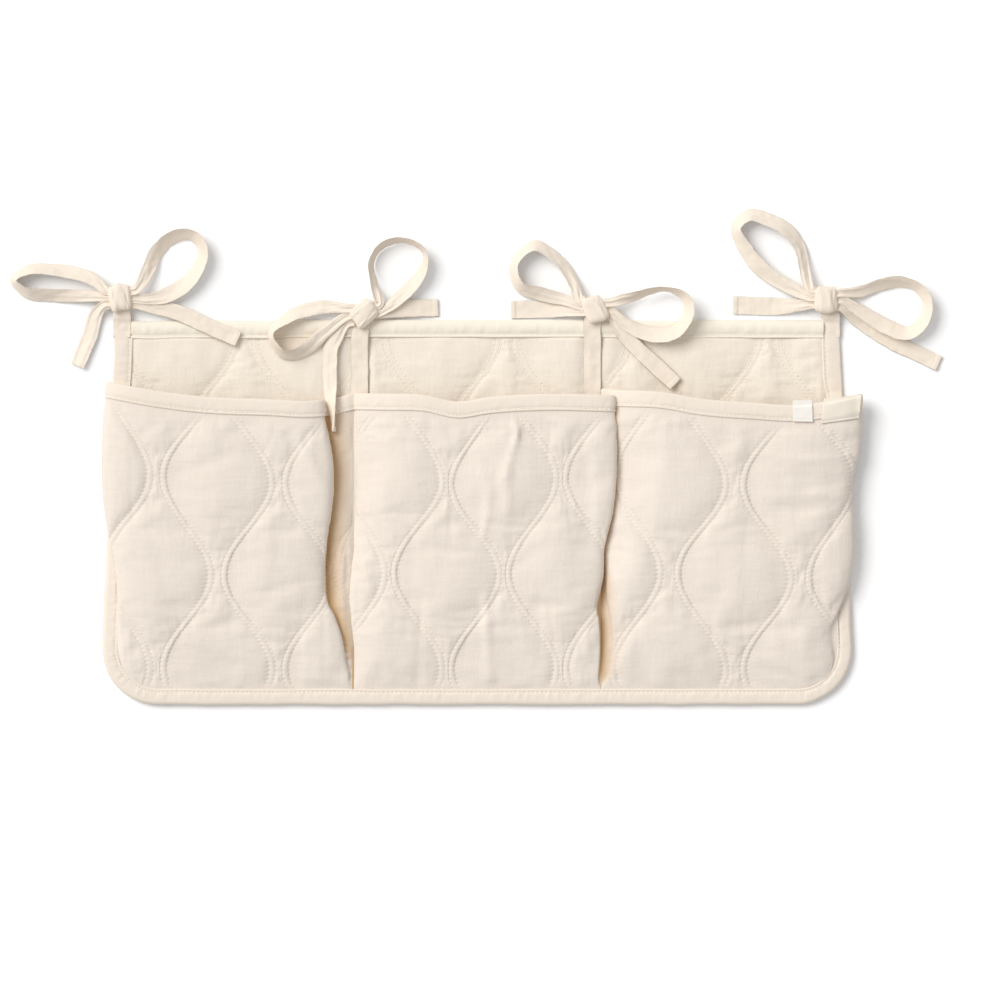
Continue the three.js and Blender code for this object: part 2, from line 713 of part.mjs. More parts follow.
// A strap of tape through its stations, each an object of place, twist and spread
function strap(stations, stepsEach) {
  const path = new THREE.CatmullRomCurve3(stations.map((station) => station.place), false, 'centripetal');
  const count = (stations.length - 1) * stepsEach;
  const sections = [];
  for (let i = 0; i <= count; i++) {
    const index = Math.min(Math.floor(i / stepsEach), stations.length - 2);
    const [from, to] = [stations[index], stations[index + 1]];
    const share = i / stepsEach - index;
    const ahead = path.getTangent(i / count);
    const twist = lerp(from.twist, to.twist, share);
    const spread = lerp(from.spread, to.spread, share);
    sections.push(strapSection(path.getPoint(i / count), ahead, twist, spread));
  }
  return loft(sections, [[0, 1, 2], [0, 2, 3]]);
}

// A point of a bow's route in the organizer's frame: the strap rests on what lies beneath it
function restingStation(bow, [x, y, beneath, twist, spread]) {
  const turn = THREE.MathUtils.degToRad(twist);
  const halfHeight = (tapeWidth * spread * Math.sin(turn) + tapeThickness * Math.cos(turn)) / 2;
  const knotAt = knotPlace(bow);
  const place = new THREE.Vector3(knotAt.x + x, knotAt.y + y, beneath + clearance + halfHeight);
  return { place, twist, spread };
}

// The flat, bunched end of a strap at the side of the knot: where it starts, and where it begins to spread
function rootStations(bow, away, y, height) {
  const knotAt = knotPlace(bow);
  return [clearance, clearance + bunchedLength].map((out) => {
    const place = new THREE.Vector3(knotAt.x + away * (knotWidth / 2 + out), knotAt.y + y, height);
    return { place, twist: 0, spread: bunchedShare };
  });
}

// The knot: tape wrapped over the front and flat underneath, wider than it is thick
function knot(bow) {
  const half = knotLength / 2 - knotBevel;
  const shape = new THREE.Shape();
  shape.moveTo(-half, 0);
  shape.lineTo(half, 0);
  shape.absellipse(0, 0, half, knotHeight - 2 * knotBevel, 0, Math.PI, false);
  const geometry = new THREE.ExtrudeGeometry(shape, {
    depth: knotWidth - 2 * knotBevel,
    bevelThickness: knotBevel,
    bevelSize: knotBevel,
    bevelSegments: 1,
    curveSegments: 8,
  });
  geometry.translate(0, 0, knotBevel - knotWidth / 2);
  geometry.rotateX(Math.PI / 2);
  geometry.rotateZ(Math.PI / 2);
  const { x, y } = knotPlace(bow);
  geometry.translate(x, y, knotBase + knotBevel);
  return geometry;
}

// The tape sewn to the back: flat on it, up over the hem and on to the middle of its knot
function tieTape(bow, low, width, beneath) {
  const knotAt = knotPlace(bow);
  const hemBottom = panelTop - hemWidth;
  const climb = hemRoll + clearance;
  const route = [
    [low, beneath],
    [hemBottom - climb, beneath],
    [hemBottom, onHem],
    [panelTop, onHem],
    [knotAt.y + knotLength / 2 - knotBevel, onHem],
  ];
  const sections = route.map(([y, z]) => {
    const x = lerp(bow.tapeX, knotAt.x, clamp((y - panelTop) / bow.knotAbove, 0, 1));
    const [left, right] = [x - width / 2, x + width / 2];
    return [[left, y, z], [left, y, z + tapeThickness], [right, y, z + tapeThickness], [right, y, z]];
  });
  return loft(sections, [[0, 1, 2], [0, 2, 3]]);
}

// A loop of a bow, out from the knot's side and back to it
function bowLoop(bow, away, { start, end, route }) {
  const [first, second] = rootStations(bow, away, start, loopStartRoot);
  const [last, beforeLast] = rootStations(bow, away, end, loopEndRoot);
  const resting = route.map((point) => restingStation(bow, point));
  return strap([first, second, ...resting, beforeLast, last], 2);
}

// A tail of a bow, out from the knot's side to its cut end
function bowTail(bow, away, { start, route }) {
  const resting = route.map((point) => restingStation(bow, point));
  return strap([...rootStations(bow, away, start, tailRoot), ...resting], 3);
}

// Where each tape is sewn on: its low end, its width and the height of what it lies on
function tapeSeats() {
  const corner = [panelTop - cornerTapeReach, bindingWidth, onBack + bindingThickness + clearance];
  const overMouths = (first, second, x) => Math.max(mouthY(first, x), mouthY(second, x)) + clearance;
  return [
    corner,
    [overMouths(pockets[0], pockets[1], leftDividerX), tapeWidth, onBack],
    [overMouths(pockets[1], pockets[2], rightDividerX), tapeWidth, onBack],
    corner,
  ];
}

function addTies() {
  const seats = tapeSeats();
  bows.forEach((bow, i) => {
    addPiece(`tie_tape_${i + 1}`, tieTape(bow, ...seats[i]), colours.tape);
    addPiece(`${bow.name}_knot`, knot(bow), colours.tape);
    for (const { name, away, loop, tail } of bow.sides) {
      addPiece(`${bow.name}_loop_${name}`, bowLoop(bow, away, loop), colours.tape);
      if (tail) addPiece(`${bow.name}_tail_${name}`, bowTail(bow, away, tail), colours.tape);
    }
    if (bow.tuckedTail) addPiece(`${bow.name}_tail_tucked`, bowTail(bow, -1, bow.tuckedTail), colours.tape);
  });
}

// The labels

// A patch laid on the right pocket's mouth binding, from one x to another and a given way down
function label(from, to, height) {
  const pocket = pockets[2];
  const onBinding = bindingThickness + 2 * clearance;
  const under = pocketGrid(pocket, pocketClothHigh, 0, false).slice(-3);
  const mouthRow = under.at(-1);
  const between = mouthRow.map((point) => point[0]).filter((x) => x > from + clearance && x < to - clearance);
  const highest = (x) => Math.max(...under.map((row) => heightOnRow(row, x)));
  const edges = [[height, highest], [clearance, (x) => heightOnRow(mouthRow, x)]];
  const rows = edges.map(([drop, heightAt]) => [from, ...between, to].map((x) => (
    [x, mouthY(pocket, x) - drop, heightAt(x) + onBinding]
  )));
  const raised = rows.map((points) => points.map(([x, y, z]) => [x, y, z + labelThickness]));
  return layer(raised, rows);
}

function addLabels() {
  const end = panelTopWidth / 2;
  const endFrom = end - endLabelWidth;
  const smallTo = endFrom - labelSpacing;
  addPiece('label_small', label(smallTo - smallLabelWidth, smallTo, smallLabelHeight), colours.label);
  addPiece('label_end', label(endFrom, end, endLabelHeight), colours.label);
}

pocketLimits().forEach(([from, to], i) => Object.assign(pockets[i], { from, to }));
addBack();
addTopHem();
addPockets();
addEdgeBinding();
addTies();
addLabels();

export default organizer;
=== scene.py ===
# %% [markdown]
# # A quilted playpen organizer
# The real thing is soft: two layers of crinkled cotton muslin with wadding between them, quilted in waves,
# with three padded pockets and four ties knotted in bows. It lies on its back under soft studio light.
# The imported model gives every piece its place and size. This lesson dresses that frame in cloth.

# %% Load the frame
import math

import bpy
import numpy as np
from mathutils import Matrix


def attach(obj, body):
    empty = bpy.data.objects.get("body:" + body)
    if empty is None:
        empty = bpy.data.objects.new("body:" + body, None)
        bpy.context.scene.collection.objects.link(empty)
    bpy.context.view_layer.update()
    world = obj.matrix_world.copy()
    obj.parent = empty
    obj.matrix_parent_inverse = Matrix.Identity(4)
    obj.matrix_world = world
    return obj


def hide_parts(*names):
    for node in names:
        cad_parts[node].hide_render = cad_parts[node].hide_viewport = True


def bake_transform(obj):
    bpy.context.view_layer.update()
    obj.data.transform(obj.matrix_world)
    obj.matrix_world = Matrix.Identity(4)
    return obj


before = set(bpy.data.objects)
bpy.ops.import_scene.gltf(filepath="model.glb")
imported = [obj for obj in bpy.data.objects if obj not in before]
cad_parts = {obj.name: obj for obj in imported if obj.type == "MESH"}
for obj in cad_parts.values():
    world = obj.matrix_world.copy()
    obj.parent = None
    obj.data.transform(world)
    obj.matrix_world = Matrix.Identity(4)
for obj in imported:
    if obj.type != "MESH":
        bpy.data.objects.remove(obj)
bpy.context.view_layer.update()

# %% [markdown]
# ## The view
# The photograph looks straight down on the organizer with a long lens, so an orthographic camera comes
# closest. Its frame is 795 mm wide, and the organizer's middle is a little left of and below its centre.

# %% Camera and colour management
MM = 0.001
VIEW_WIDTH = 795
scene = bpy.context.scene
scene.view_settings.view_transform = "Standard"
camera = bpy.data.objects.new("camera", bpy.data.cameras.new("camera"))
camera.data.type = "ORTHO"
camera.data.ortho_scale = VIEW_WIDTH * MM
camera.location = (17.9 * MM, 9.9 * MM, 2)
scene.collection.objects.link(camera)
scene.camera = camera
print("camera covers", camera.data.ortho_scale, "m")

# %% [markdown]
# ## Meshes from grids of points
# Cloth is a sheet, so each piece here starts as a grid of points: rows up the cloth, columns across it.
# Working the points out with arrays is quick, and it keeps every seam line exactly where it is wanted.
# A grid becomes a piece when a second grid closes it from behind, or when its rows close into rings.

# %% Mesh helpers
def piece(name, form, material=None):
    """A smooth mesh object from points in millimetres and arrays of faces with 3 or 4 corners."""
    points, faces = form
    mesh = bpy.data.meshes.new(name)
    corners = np.concatenate([f.ravel() for f in faces]).astype(np.int32)
    sizes = np.repeat([f.shape[1] for f in faces], [len(f) for f in faces]).astype(np.int32)
    mesh.vertices.add(len(points))
    mesh.vertices.foreach_set("co", (np.asarray(points) * MM).astype(np.float32).ravel())
    mesh.loops.add(len(corners))
    mesh.loops.foreach_set("vertex_index", corners)
    mesh.polygons.add(len(sizes))
    mesh.polygons.foreach_set("loop_start", np.cumsum(sizes, dtype=np.int32) - sizes)
    mesh.polygons.foreach_set("loop_total", sizes)
    mesh.update(calc_edges=True)
    mesh.shade_smooth()
    obj = bpy.data.objects.new(name, mesh)
    scene.collection.objects.link(obj)
    if material:
        mesh.materials.append(material)
    return obj


def dress(name, form, material, slot, *nodes):
    """A piece that stands for CAD nodes: it hides them, takes the given material and stays with the root."""
    obj = piece(name, form, material)
    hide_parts(*nodes)
    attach(obj, "root")
    return obj


def store_fold_shade(obj, depth):
    """Keeps the painted fold shade of each front point, from 0 to 1, where the material can read it."""
    values = np.zeros(len(obj.data.vertices), np.float32)
    values[: depth.size] = depth.ravel()
    obj.data.attributes.new("depth", "FLOAT", "POINT").data.foreach_set("value", values)


def numbered(grid, start=0):
    """The number of each point of a grid."""
    return start + np.arange(grid[..., 0].size).reshape(grid.shape[:2])


def grid_faces(index):
    """Quads of a grid of point numbers, facing up where rows run upwards and columns to the right."""
    return np.stack([index[:-1, :-1], index[:-1, 1:], index[1:, 1:], index[1:, :-1]], -1).reshape(-1, 4)


def border(index):
    """Point numbers once round the edge of a grid, anticlockwise."""
    return np.concatenate([index[0], index[1:, -1], index[-1, -2::-1], index[-2:0:-1, 0]])


def closed_layer(front, back, stride=1):
    """Points and faces of a layer. The back grid has every stride-th row and column of the front grid."""
    back = back[::stride, ::stride]
    index = numbered(front)
    behind = numbered(back, index.size)
    here, inner = border(index), border(behind)
    after = np.roll(here, -1)
    beside = (np.arange(len(here) + 1) + stride // 2) // stride % len(inner)
    near, far = inner[beside[:-1]], inner[beside[1:]]
    same = near == far
    sides = [np.stack([after, here, near], -1)[same], np.stack([after, here, near, far], -1)[~same]]
    points = np.concatenate([front.reshape(-1, 3), back.reshape(-1, 3)])
    return points, [grid_faces(index), grid_faces(behind)[:, ::-1], *sides]


def rings(sections):
    """Points and faces of a band: a row of equal closed sections, each end closed by quads across it."""
    count, size = sections.shape[:2]
    here = numbered(sections)
    after = np.roll(here, -1, 1)
    sides = np.stack([here[:-1], after[:-1], after[1:], here[1:]], -1).reshape(-1, 4)
    low = np.arange(size // 2 - 1)
    first = np.stack([low, size - 1 - low, size - 2 - low, low + 1], -1)
    return sections.reshape(-1, 3), [sides, first, (count - 1) * size + first[:, ::-1]]


def unit(vectors):
    """Vectors with their length made one."""
    return vectors / np.maximum(np.linalg.norm(vectors, axis=-1, keepdims=True), 1e-9)


def normals(grid):
    """Unit normals of a grid of points, on the side that grid_faces shows."""
    return unit(np.cross(np.gradient(grid, axis=1), np.gradient(grid, axis=0)))


def run_along(points):
    """How far along a path each of its points lies, or along every column of a grid of points."""
    steps = np.linalg.norm(np.diff(points, axis=0), axis=-1)
    return np.concatenate([np.zeros((1, *steps.shape[1:])), np.cumsum(steps, 0)])


def read_at(at, run, values):
    """Rows of values that are given at places along a run, read at other places."""
    return np.stack([np.interp(at, run, column) for column in values.T], -1)


# %% [markdown]
# ## Smooth noise for cloth
# Muslin is never even: it crinkles, puckers at its seams and waves along its edges. A table of random
# numbers with a fixed seed, smoothed between its entries, gives the same soft unevenness on every run.

# %% Noise and small curves
def smooth(t):
    """Eases from 0 to 1, flat at both ends and outside them."""
    t = np.clip(t, 0, 1)
    return t * t * (3 - 2 * t)


def noise(u, v, size_u, size_v, seed):
    """Smooth noise from -1 to 1 over two lengths in millimetres, with lumps of the given sizes."""
    table = np.random.default_rng(seed).uniform(-1, 1, (97, 89))
    a, b = np.broadcast_arrays(u / size_u + 500.3, v / size_v + 500.7)
    i, j = np.floor(a).astype(int), np.floor(b).astype(int)
    s, t = smooth(a - i), smooth(b - j)
    i, j = i % 97, j % 89
    k, m = (i + 1) % 97, (j + 1) % 89
    low = table[i, j] * (1 - s) + table[k, j] * s
    high = table[i, m] * (1 - s) + table[k, m] * s
    return low * (1 - t) + high * t


def wander(run, size, seed):
    """Smooth noise along one length, such as the edge of a strip."""
    return noise(run, 0, size, 1, seed)


def hermite(t, low, high, low_slope, high_slope):
    """Between two values, with the given slopes there: the curve that all smooth paths here are made of."""
    ends = low * (1 + 2 * t) * (1 - t) ** 2 + high * t * t * (3 - 2 * t)
    return ends + low_slope * t * (1 - t) ** 2 + high_slope * t * t * (t - 1)


def curve(x, knots):
    """A smooth curve through a few (place, value) pairs, level beyond its ends."""
    places, values = np.array(knots, float).T
    x = np.clip(x, places[0], places[-1])
    slopes = np.gradient(values, places)
    i = np.clip(np.searchsorted(places, x, side="right") - 1, 0, len(places) - 2)
    step = places[i + 1] - places[i]
    return hermite((x - places[i]) / step, values[i], values[i + 1], slopes[i] * step, slopes[i + 1] * step)


def crinkle(u, v, strength):
    """Fine creases of double gauze, with broader dents and long, soft upright valleys."""
    fine = noise(u, v, 2.6, 9, 11) + 0.7 * noise(u + 0.5 * v, v, 4.3, 6, 12) + 0.6 * noise(u, v, 9, 2.4, 15)
    broad = noise(u, v, 11, 23, 13) + 0.8 * noise(u, v, 27, 19, 14) + 0.4 * noise(u, v, 24, 12, 16)
    valleys = np.exp(-((noise(u, v, 14, 62, 17) / 0.28) ** 2))
    valleys += 0.5 * np.exp(-((noise(u, v, 11, 36, 18) / 0.3) ** 2))
    return strength * (0.11 * fine + 0.2 * broad - 0.42 * valleys)


# %% [markdown]
# ## Materials
# Everything is undyed cotton, so the finishes differ little: muslin with loose slubs, a smoother lining,
# a firmer and yellower cloth for bindings and ties, and a bleached woven tape for the labels. Each is
# built from stretched noise: threads are noise drawn out one way, and slubs are a coarser copy of them.

# %% A socket that takes part in Python expressions
class Wire:
    """One output socket. Sums, differences and products of wires and numbers add Math nodes."""

    def __init__(self, tree, socket=None):
        self.tree, self.socket = tree, socket

    def math(self, operation, a, b):
        return self.node("ShaderNodeMath", {0: a, 1: b}, operation=operation)

    def node(self, kind, inputs=None, output=0, **settings):
        """A new node. Its settings are set first, and then the values or links of its inputs."""
        made = self.tree.nodes.new(kind)
        for key, value in settings.items():
            setattr(made, key, value)
        for key, value in (inputs or {}).items():
            if isinstance(value, Wire):
                self.tree.links.new(value.socket, made.inputs[key])
            else:
                made.inputs[key].default_value = value
        return Wire(self.tree, made.outputs[output]) if made.outputs else made

    def mix(self, low, high):
        """A colour that goes from low to high as this wire goes from 0 to 1."""
        return self.node("ShaderNodeMix", {0: self, 6: low, 7: high}, output=2, data_type="RGBA")

    def __add__(self, other):
        return self.math("ADD", self, other)

    def __radd__(self, other):
        return self.math("ADD", other, self)

    def __sub__(self, other):
        return self.math("SUBTRACT", self, other)

    def __rsub__(self, other):
        return self.math("SUBTRACT", other, self)

    def __mul__(self, other):
        return self.math("MULTIPLY", self, other)

    def __rmul__(self, other):
        return self.math("MULTIPLY", other, self)


# %% A cloth material
def linear(red, green, blue):
    """A colour written as it looks on screen, as the numbers that a shader takes."""
    return tuple((c / 255) ** 2.2 for c in (red, green, blue)) + (1,)


# Painted shade for deep folds: the tan that light takes on as it bounces about in a fold of cream cotton
PAINTED_SHADE_TAN = linear(196, 160, 112)


def bare_material(name):
    """A material without nodes, and its tree."""
    material = bpy.data.materials.new(name)
    material.use_nodes = True
    material.node_tree.nodes.clear()
    return material, material.node_tree


def cloth(name, light, dark, slub, thread, crease):
    """Cotton cloth with threads both ways, slubs, soft creases, a slightly uneven colour and painted fold
    shade.
    """
    material, tree = bare_material(name)
    place = Wire(tree).node("ShaderNodeTexCoord", output="Object")

    def drawn_out(x, y, z, detail=2.0):
        stretched = place.node("ShaderNodeVectorMath", {0: place, 1: (x, y, z)}, operation="MULTIPLY")
        return place.node("ShaderNodeTexNoise", {"Vector": stretched, "Scale": 1.0, "Detail": detail})

    warp = drawn_out(1900, 130, 1900)
    weft = drawn_out(130, 1900, 1900)
    slubs = drawn_out(420, 28, 420) * 0.5 + drawn_out(28, 420, 420) * 0.5
    creases = drawn_out(330, 120, 330, 3.0)
    patches = drawn_out(22, 22, 22)
    shade = (slubs - 0.5) * slub + (patches - 0.5) * 0.35 + (warp + weft - 1.0) * thread * 0.5 + 0.5
    # The depth attribute carries painted shade: it turns the colour tan deep in folds
    depth = place.node("ShaderNodeAttribute", output="Fac", attribute_name="depth")
    colour = depth.mix(shade.mix(linear(*dark), linear(*light)), PAINTED_SHADE_TAN)
    height = (warp + weft) * thread + slubs * slub + creases * crease
    bump = place.node("ShaderNodeBump", {"Height": height, "Strength": 0.45, "Distance": 0.0005})
    surface = place.node("ShaderNodeBsdfPrincipled", {
        "Base Color": colour, "Roughness": (slubs - 0.5) * 0.15 + 0.9, "Normal": bump,
        "Specular IOR Level": 0.25, "Sheen Weight": 0.12, "Sheen Roughness": 0.6,
    })
    place.node("ShaderNodeOutputMaterial", {"Surface": surface})
    return material


muslin = cloth("muslin", (241, 230, 218), (225, 213, 200), 0.7, 0.6, 1.1)
back_muslin = cloth("back_muslin", (247, 237, 222), (233, 221, 205), 0.7, 0.6, 1.1)
hem_cloth = cloth("hem_cloth", (251, 243, 228), (238, 228, 210), 0.5, 0.4, 0.8)
lining = cloth("lining", (240, 229, 214), (226, 213, 194), 0.4, 0.4, 0.6)
bias = cloth("bias", (244, 232, 218), (230, 217, 202), 0.5, 0.5, 1.0)
tape = cloth("tape", (247, 234, 218), (234, 220, 203), 0.35, 0.45, 0.6)
thread = cloth("thread", (247, 237, 223), (240, 228, 212), 0.1, 0.2, 0.1)
bleached = cloth("bleached_tape", (249, 244, 235), (240, 235, 226), 0.1, 0.7, 0.2)
woven = cloth("woven_tape", (247, 238, 223), (235, 225, 208), 0.1, 0.7, 0.3)
print("materials:", [m.name for m in bpy.data.materials])

# %% [markdown]
# ## Wave quilting
# Two rows of stitches run side by side up each wave, so a seam is a narrow double groove with a little
# ridge in it, and the cloth puffs up between seams. Neighbouring waves mirror each other and almost meet
# in necks. The columns of the grid follow the seams: a fixed number in each seam's band and in each puff.
# That way even a coarse grid has crisp seams, which a shader's bump alone wouldn't show from the side.

# %% Quilting values
PANEL_TOP, PANEL_BOTTOM = 153, -153
WAVE_LENGTH, WAVE_SWING = 150, 19
SEAM_HALF, ROW_ASIDE = 3.6, 2.7
SEAM_STEPS, PUFF_STEPS = 8, 22
STITCH, THREAD, HOLE = 3.5, 0.27, 0.4
NO_SEAM, LEAST_GAP = 99.0, 3.0


def wave_seams(neck_x, pitch, neck_y, first, last, y):
    """Place across of seams first to last at height y, where neck_x is the middle of a neck at neck_y."""
    k = np.arange(first, last + 1)
    swing = WAVE_SWING * np.cos(2 * math.pi * (y - neck_y) / WAVE_LENGTH)
    return neck_x + (k - 0.5) * pitch + np.where(k % 2, -swing, swing)


def split_row(low, high, seams):
    """Columns of one row between its two limits.

    Gives each column's place, its distance from its seam's middle line, its share of the way across its
    puff, the puff's width, and how much of a seam it is. A seam that has run out past a limit fades away.
    """
    gaps = LEAST_GAP * (np.arange(len(seams)) + 0.5)
    middles = [low, *np.clip(seams, low + gaps, high - gaps[::-1]), high]
    t, u = np.arange(PUFF_STEPS) / PUFF_STEPS, np.arange(SEAM_STEPS) / SEAM_STEPS
    columns, start = [], low
    for before, middle, after, wanted in zip(middles, middles[1:], middles[2:], seams):
        half = min(SEAM_HALF, 0.42 * (after - middle), 0.42 * (middle - before))
        stop = middle - half
        kept = 1 - smooth((abs(middle - wanted) - 2) / 4)
        columns.append(np.broadcast_arrays(start + (stop - start) * t, NO_SEAM, t, stop - start, 0.0))
        columns.append(np.broadcast_arrays(stop + 2 * half * u, SEAM_HALF * (2 * u - 1), 0.0, 0.0, kept))
        start = middle + half
    columns.append(np.broadcast_arrays(start + (high - start) * t, NO_SEAM, t, high - start, 0.0))
    return np.concatenate(columns + [[[high], [NO_SEAM], [0.0], [0.0], [0.0]]], 1)


# %% What a seam does to the cloth
def beat(along):
    """1 at each hole of a seam and -1 at the middle of each stitch."""
    return np.cos(2 * math.pi * along / STITCH)


def seam_relief(aside, seam, along):
    """Height across a seam's band: two stitched grooves, dipping at each stitch, and the ridge between."""
    row = np.exp(-(((np.abs(aside) - ROW_ASIDE) / 0.95) ** 2))
    dips = 0.2 + 0.8 * (0.5 + 0.5 * beat(along)) ** 2
    ridge = (0.15 + 0.1 * wander(along, 1.8, 23)) * np.exp(-((aside / 1.9) ** 2))
    return seam * (ridge - 0.72 * row * dips)


def puckers(share, width, along):
    """Small wrinkles that run out of the stitching into the puffs on both sides."""
    from_left, from_right = share * width, (1 - share) * width
    left = (0.2 * wander(along, 2.6, 21) + 0.12 * beat(along)) * np.exp(-from_left / 4)
    right = (0.2 * wander(along, 2.6, 22) + 0.12 * beat(along)) * np.exp(-from_right / 4)
    rise = np.clip(np.minimum(from_left, from_right) / 1.5, 0, 1) * np.clip(width / 30, 0, 1)
    return np.where(width > 0, (left + right) * rise, 0)


def puff(share, width, widest):
    """Rounded height of the wadding across a puff, lower in the narrow necks."""
    return np.sin(math.pi * share) ** 0.85 * np.sqrt(np.minimum(width / widest, 1))


# %% [markdown]
# ## Padding by simulation
# Wadding pushes the cloth out between the seams, and the spare cloth gathers into creases. A short cloth
# simulation finds those shapes: the seams are pinned, pressure inside swells the puffs, and a little
# extra cloth dents them. Only the change from the start is kept: capped, smoothed and spread on the fine
# grid.

# %% Simulate one quilted grid
def finer(values, axis):
    """Twice as many steps along one axis, less one, with smooth values between the given ones."""
    given = np.moveaxis(values, axis, 0)
    padded = np.concatenate([given[:1], given, given[-1:]])
    between = (9 * (padded[1:-2] + padded[2:-1]) - padded[:-3] - padded[3:]) / 16
    return np.moveaxis(np.insert(given, np.arange(1, len(given)), between, 0), 0, axis)


CLOTH_SETTINGS = {
    "quality": 5, "mass": 0.15, "tension_stiffness": 12, "compression_stiffness": 12, "shear_stiffness": 5,
    "bending_stiffness": 0.8, "use_pressure": True, "uniform_pressure_force": 1.6, "shrink_min": -0.012,
    "shrink_max": -0.012, "vertex_group_mass": "sewn",
}
MOMENTS = 16


def swell(name, front, pinned, cap, depth=3.0, halvings=1):
    """How each point of a fine grid moves when its puffs are swollen by pressure, in millimetres."""
    step = 2**halvings
    coarse, held = front[::step, ::2], pinned[::step, ::2]
    obj = piece(name + "_swell", closed_layer(coarse, coarse - depth * normals(coarse)))
    total = len(obj.data.vertices)
    sewn = np.concatenate([np.flatnonzero(held), np.arange(held.size, total)])
    obj.vertex_groups.new(name="sewn").add(sewn.tolist(), 1.0, "REPLACE")
    modifier = obj.modifiers.new("cloth", "CLOTH")
    for key, value in CLOTH_SETTINGS.items():
        setattr(modifier.settings, key, value)
    modifier.settings.effector_weights.gravity = 0
    modifier.collision_settings.use_collision = False
    modifier.point_cache.frame_start, modifier.point_cache.frame_end = 1, MOMENTS
    for moment in range(MOMENTS):
        scene.frame_set(moment + 1)
    moved = np.empty(total * 3, np.float32)
    evaluated = obj.evaluated_get(bpy.context.evaluated_depsgraph_get())
    evaluated.data.vertices.foreach_get("co", moved)
    moved = moved[: coarse.size].reshape(coarse.shape) / MM - coarse
    length = np.linalg.norm(moved, axis=-1, keepdims=True)
    moved *= np.minimum(1, cap / np.maximum(length, 1e-6))
    print(name, "swells up to", round(float(length.max()), 1), "mm before its cap of", cap)
    bpy.data.objects.remove(obj, do_unlink=True)
    scene.frame_set(1)
    for _ in range(2):
        beside = moved[:-2, 1:-1] + moved[2:, 1:-1] + moved[1:-1, :-2] + moved[1:-1, 2:]
        moved[1:-1, 1:-1] = moved[1:-1, 1:-1] / 2 + beside / 8
    for _ in range(halvings):
        moved = finer(moved, 0)
    return finer(moved, 1)


# %% [markdown]
# ## The pockets
# Each pocket is a padded panel sewn to the back at its sides and bottom. It stands off the back, so from
# above its edges are folds: the left pocket's right side turns under towards the divider seam, the centre
# pocket leans over the right one, and the right pocket bulges past the panel's edge. Every row is a
# section curve: a foot on the back, out to the fold, up round a shoulder and level over the top.

# %% Pocket values
# A pocket is sewn down FOOT inside the panel's edge, on layers that are SEWN_AT high
FOOT, SEWN_AT = 10.6, 4.7
PUFF_HIGH, QUILT_THICK, TO_LINING = 2.1, 2.2, 2.6
PANEL_WIDE, PANEL_NARROW = 600, 576
CORNER = 45
NECK_Y, MEAN_MOUTH_Y = 25.8, 91
# A side without a foot line of its own rests on the edge binding
BINDING_SIDE = {"turn": 0.36, "rise": 0.9}
POCKETS = {
    "left": {
        "pitch": 48.5, "neck_x": -254.8, "seams": (0, 4), "gape": 17, "tail": -97.9,
        "sides": (
            {**BINDING_SIDE, "shoulder": [(-140, 30), (95, 38)], "fold": [
                (-150, -266), (-116, -282), (-90, -285), (-70, -286.4), (-54, -288), (-40, -290.3),
                (-26, -293), (-12, -295.3), (4, -296.6), (34, -297.2), (66, -296.4), (90, -294.5),
                (104, -293.5)]},
            {"foot": [(-141, -100.2), (-112, -106), (-74, -116), (95, -118)], "turn": 0.5, "rise": 0.8,
             "shoulder": [(-140, 20), (95, 27)], "fold": [
                (-141, -100.4), (-131, -101.8), (-118, -104.5), (-100, -108.5), (-84, -114), (-70, -119),
                (-46, -121.3), (-16, -119), (14, -116.8), (31, -116), (50, -117.5), (66, -119.6), (82, -122),
                (95, -122.8)]},
        ),
        "mouth": [
            (-294, 103), (-258, 96.2), (-220, 91.4), (-170, 89.2), (-121, 88.8), (-108, 91.5), (-98, 93.8)],
    },
    "centre": {
        "pitch": 45.5, "neck_x": -24.2, "seams": (-1, 4), "gape": 16,
        "sides": (
            {"foot": [(-140, -98.2), (95, -98.2)], "turn": 0.12, "rise": 1.7,
             "shoulder": [(-140, 26), (95, 62)], "fold": [
                (-141, -97.4), (-112, -97.8), (-78, -101.8), (-46, -100.4), (-28, -97.6), (95, -96.8)]},
            {"foot": [(-140, 98.4), (95, 98.8)], "turn": 0.62, "rise": 0.75,
             "shoulder": [(-140, 16), (95, 24)], "fold": [
                (-139, 95.2), (-125, 96.6), (-112, 97.4), (-87, 96.6), (-75, 95), (-66, 97), (-54, 99.8),
                (-27, 101.4), (-10, 105.5), (7, 108.3), (47, 109.9), (81, 109.2), (95, 108.6)]},
        ),
        "mouth": [(-98, 93.8), (-74, 93.4), (-41, 92.2), (-17, 87.2), (9, 90.6), (56, 93.2), (110, 92.2)],
    },
    "right": {
        "pitch": 52, "neck_x": 204.7, "seams": (-1, 3), "gape": 19,
        "sides": (
            {"foot": [(-140, 98.2), (95, 98.6)], "turn": [(-140, 0.3), (-70, 0.25), (-30, 0.14), (95, 0.14)],
             "rise": [(-141, 0.8), (-70, 1.0), (-20, 2.1), (95, 2.1)],
             "shoulder": [(-141, 16), (-100, 18), (-62, 26), (-20, 42), (95, 54)], "fold": [
                (-141, 101.5), (-128, 104.5), (-105, 107.5), (-88, 106), (-70, 103), (-46, 101), (-26, 100),
                (95, 100)]},
            {**BINDING_SIDE, "shoulder": [(-140, 26), (95, 40)], "fold": [
                (-150, 266), (-124, 278), (-114, 280.6), (-92, 281.4), (-86, 283), (-80, 286.2), (-68, 291),
                (-54, 295.2), (-40, 297.6), (-11, 298.2), (11.5, 297.8), (28, 299.4), (46, 302.4),
                (72, 304.8), (95, 306)]},
        ),
        "mouth": [
            (92, 98), (110, 96.6), (145, 95), (177, 89.6), (216, 86.4), (256, 84.6), (282, 88), (306, 93.4)],
    },
}
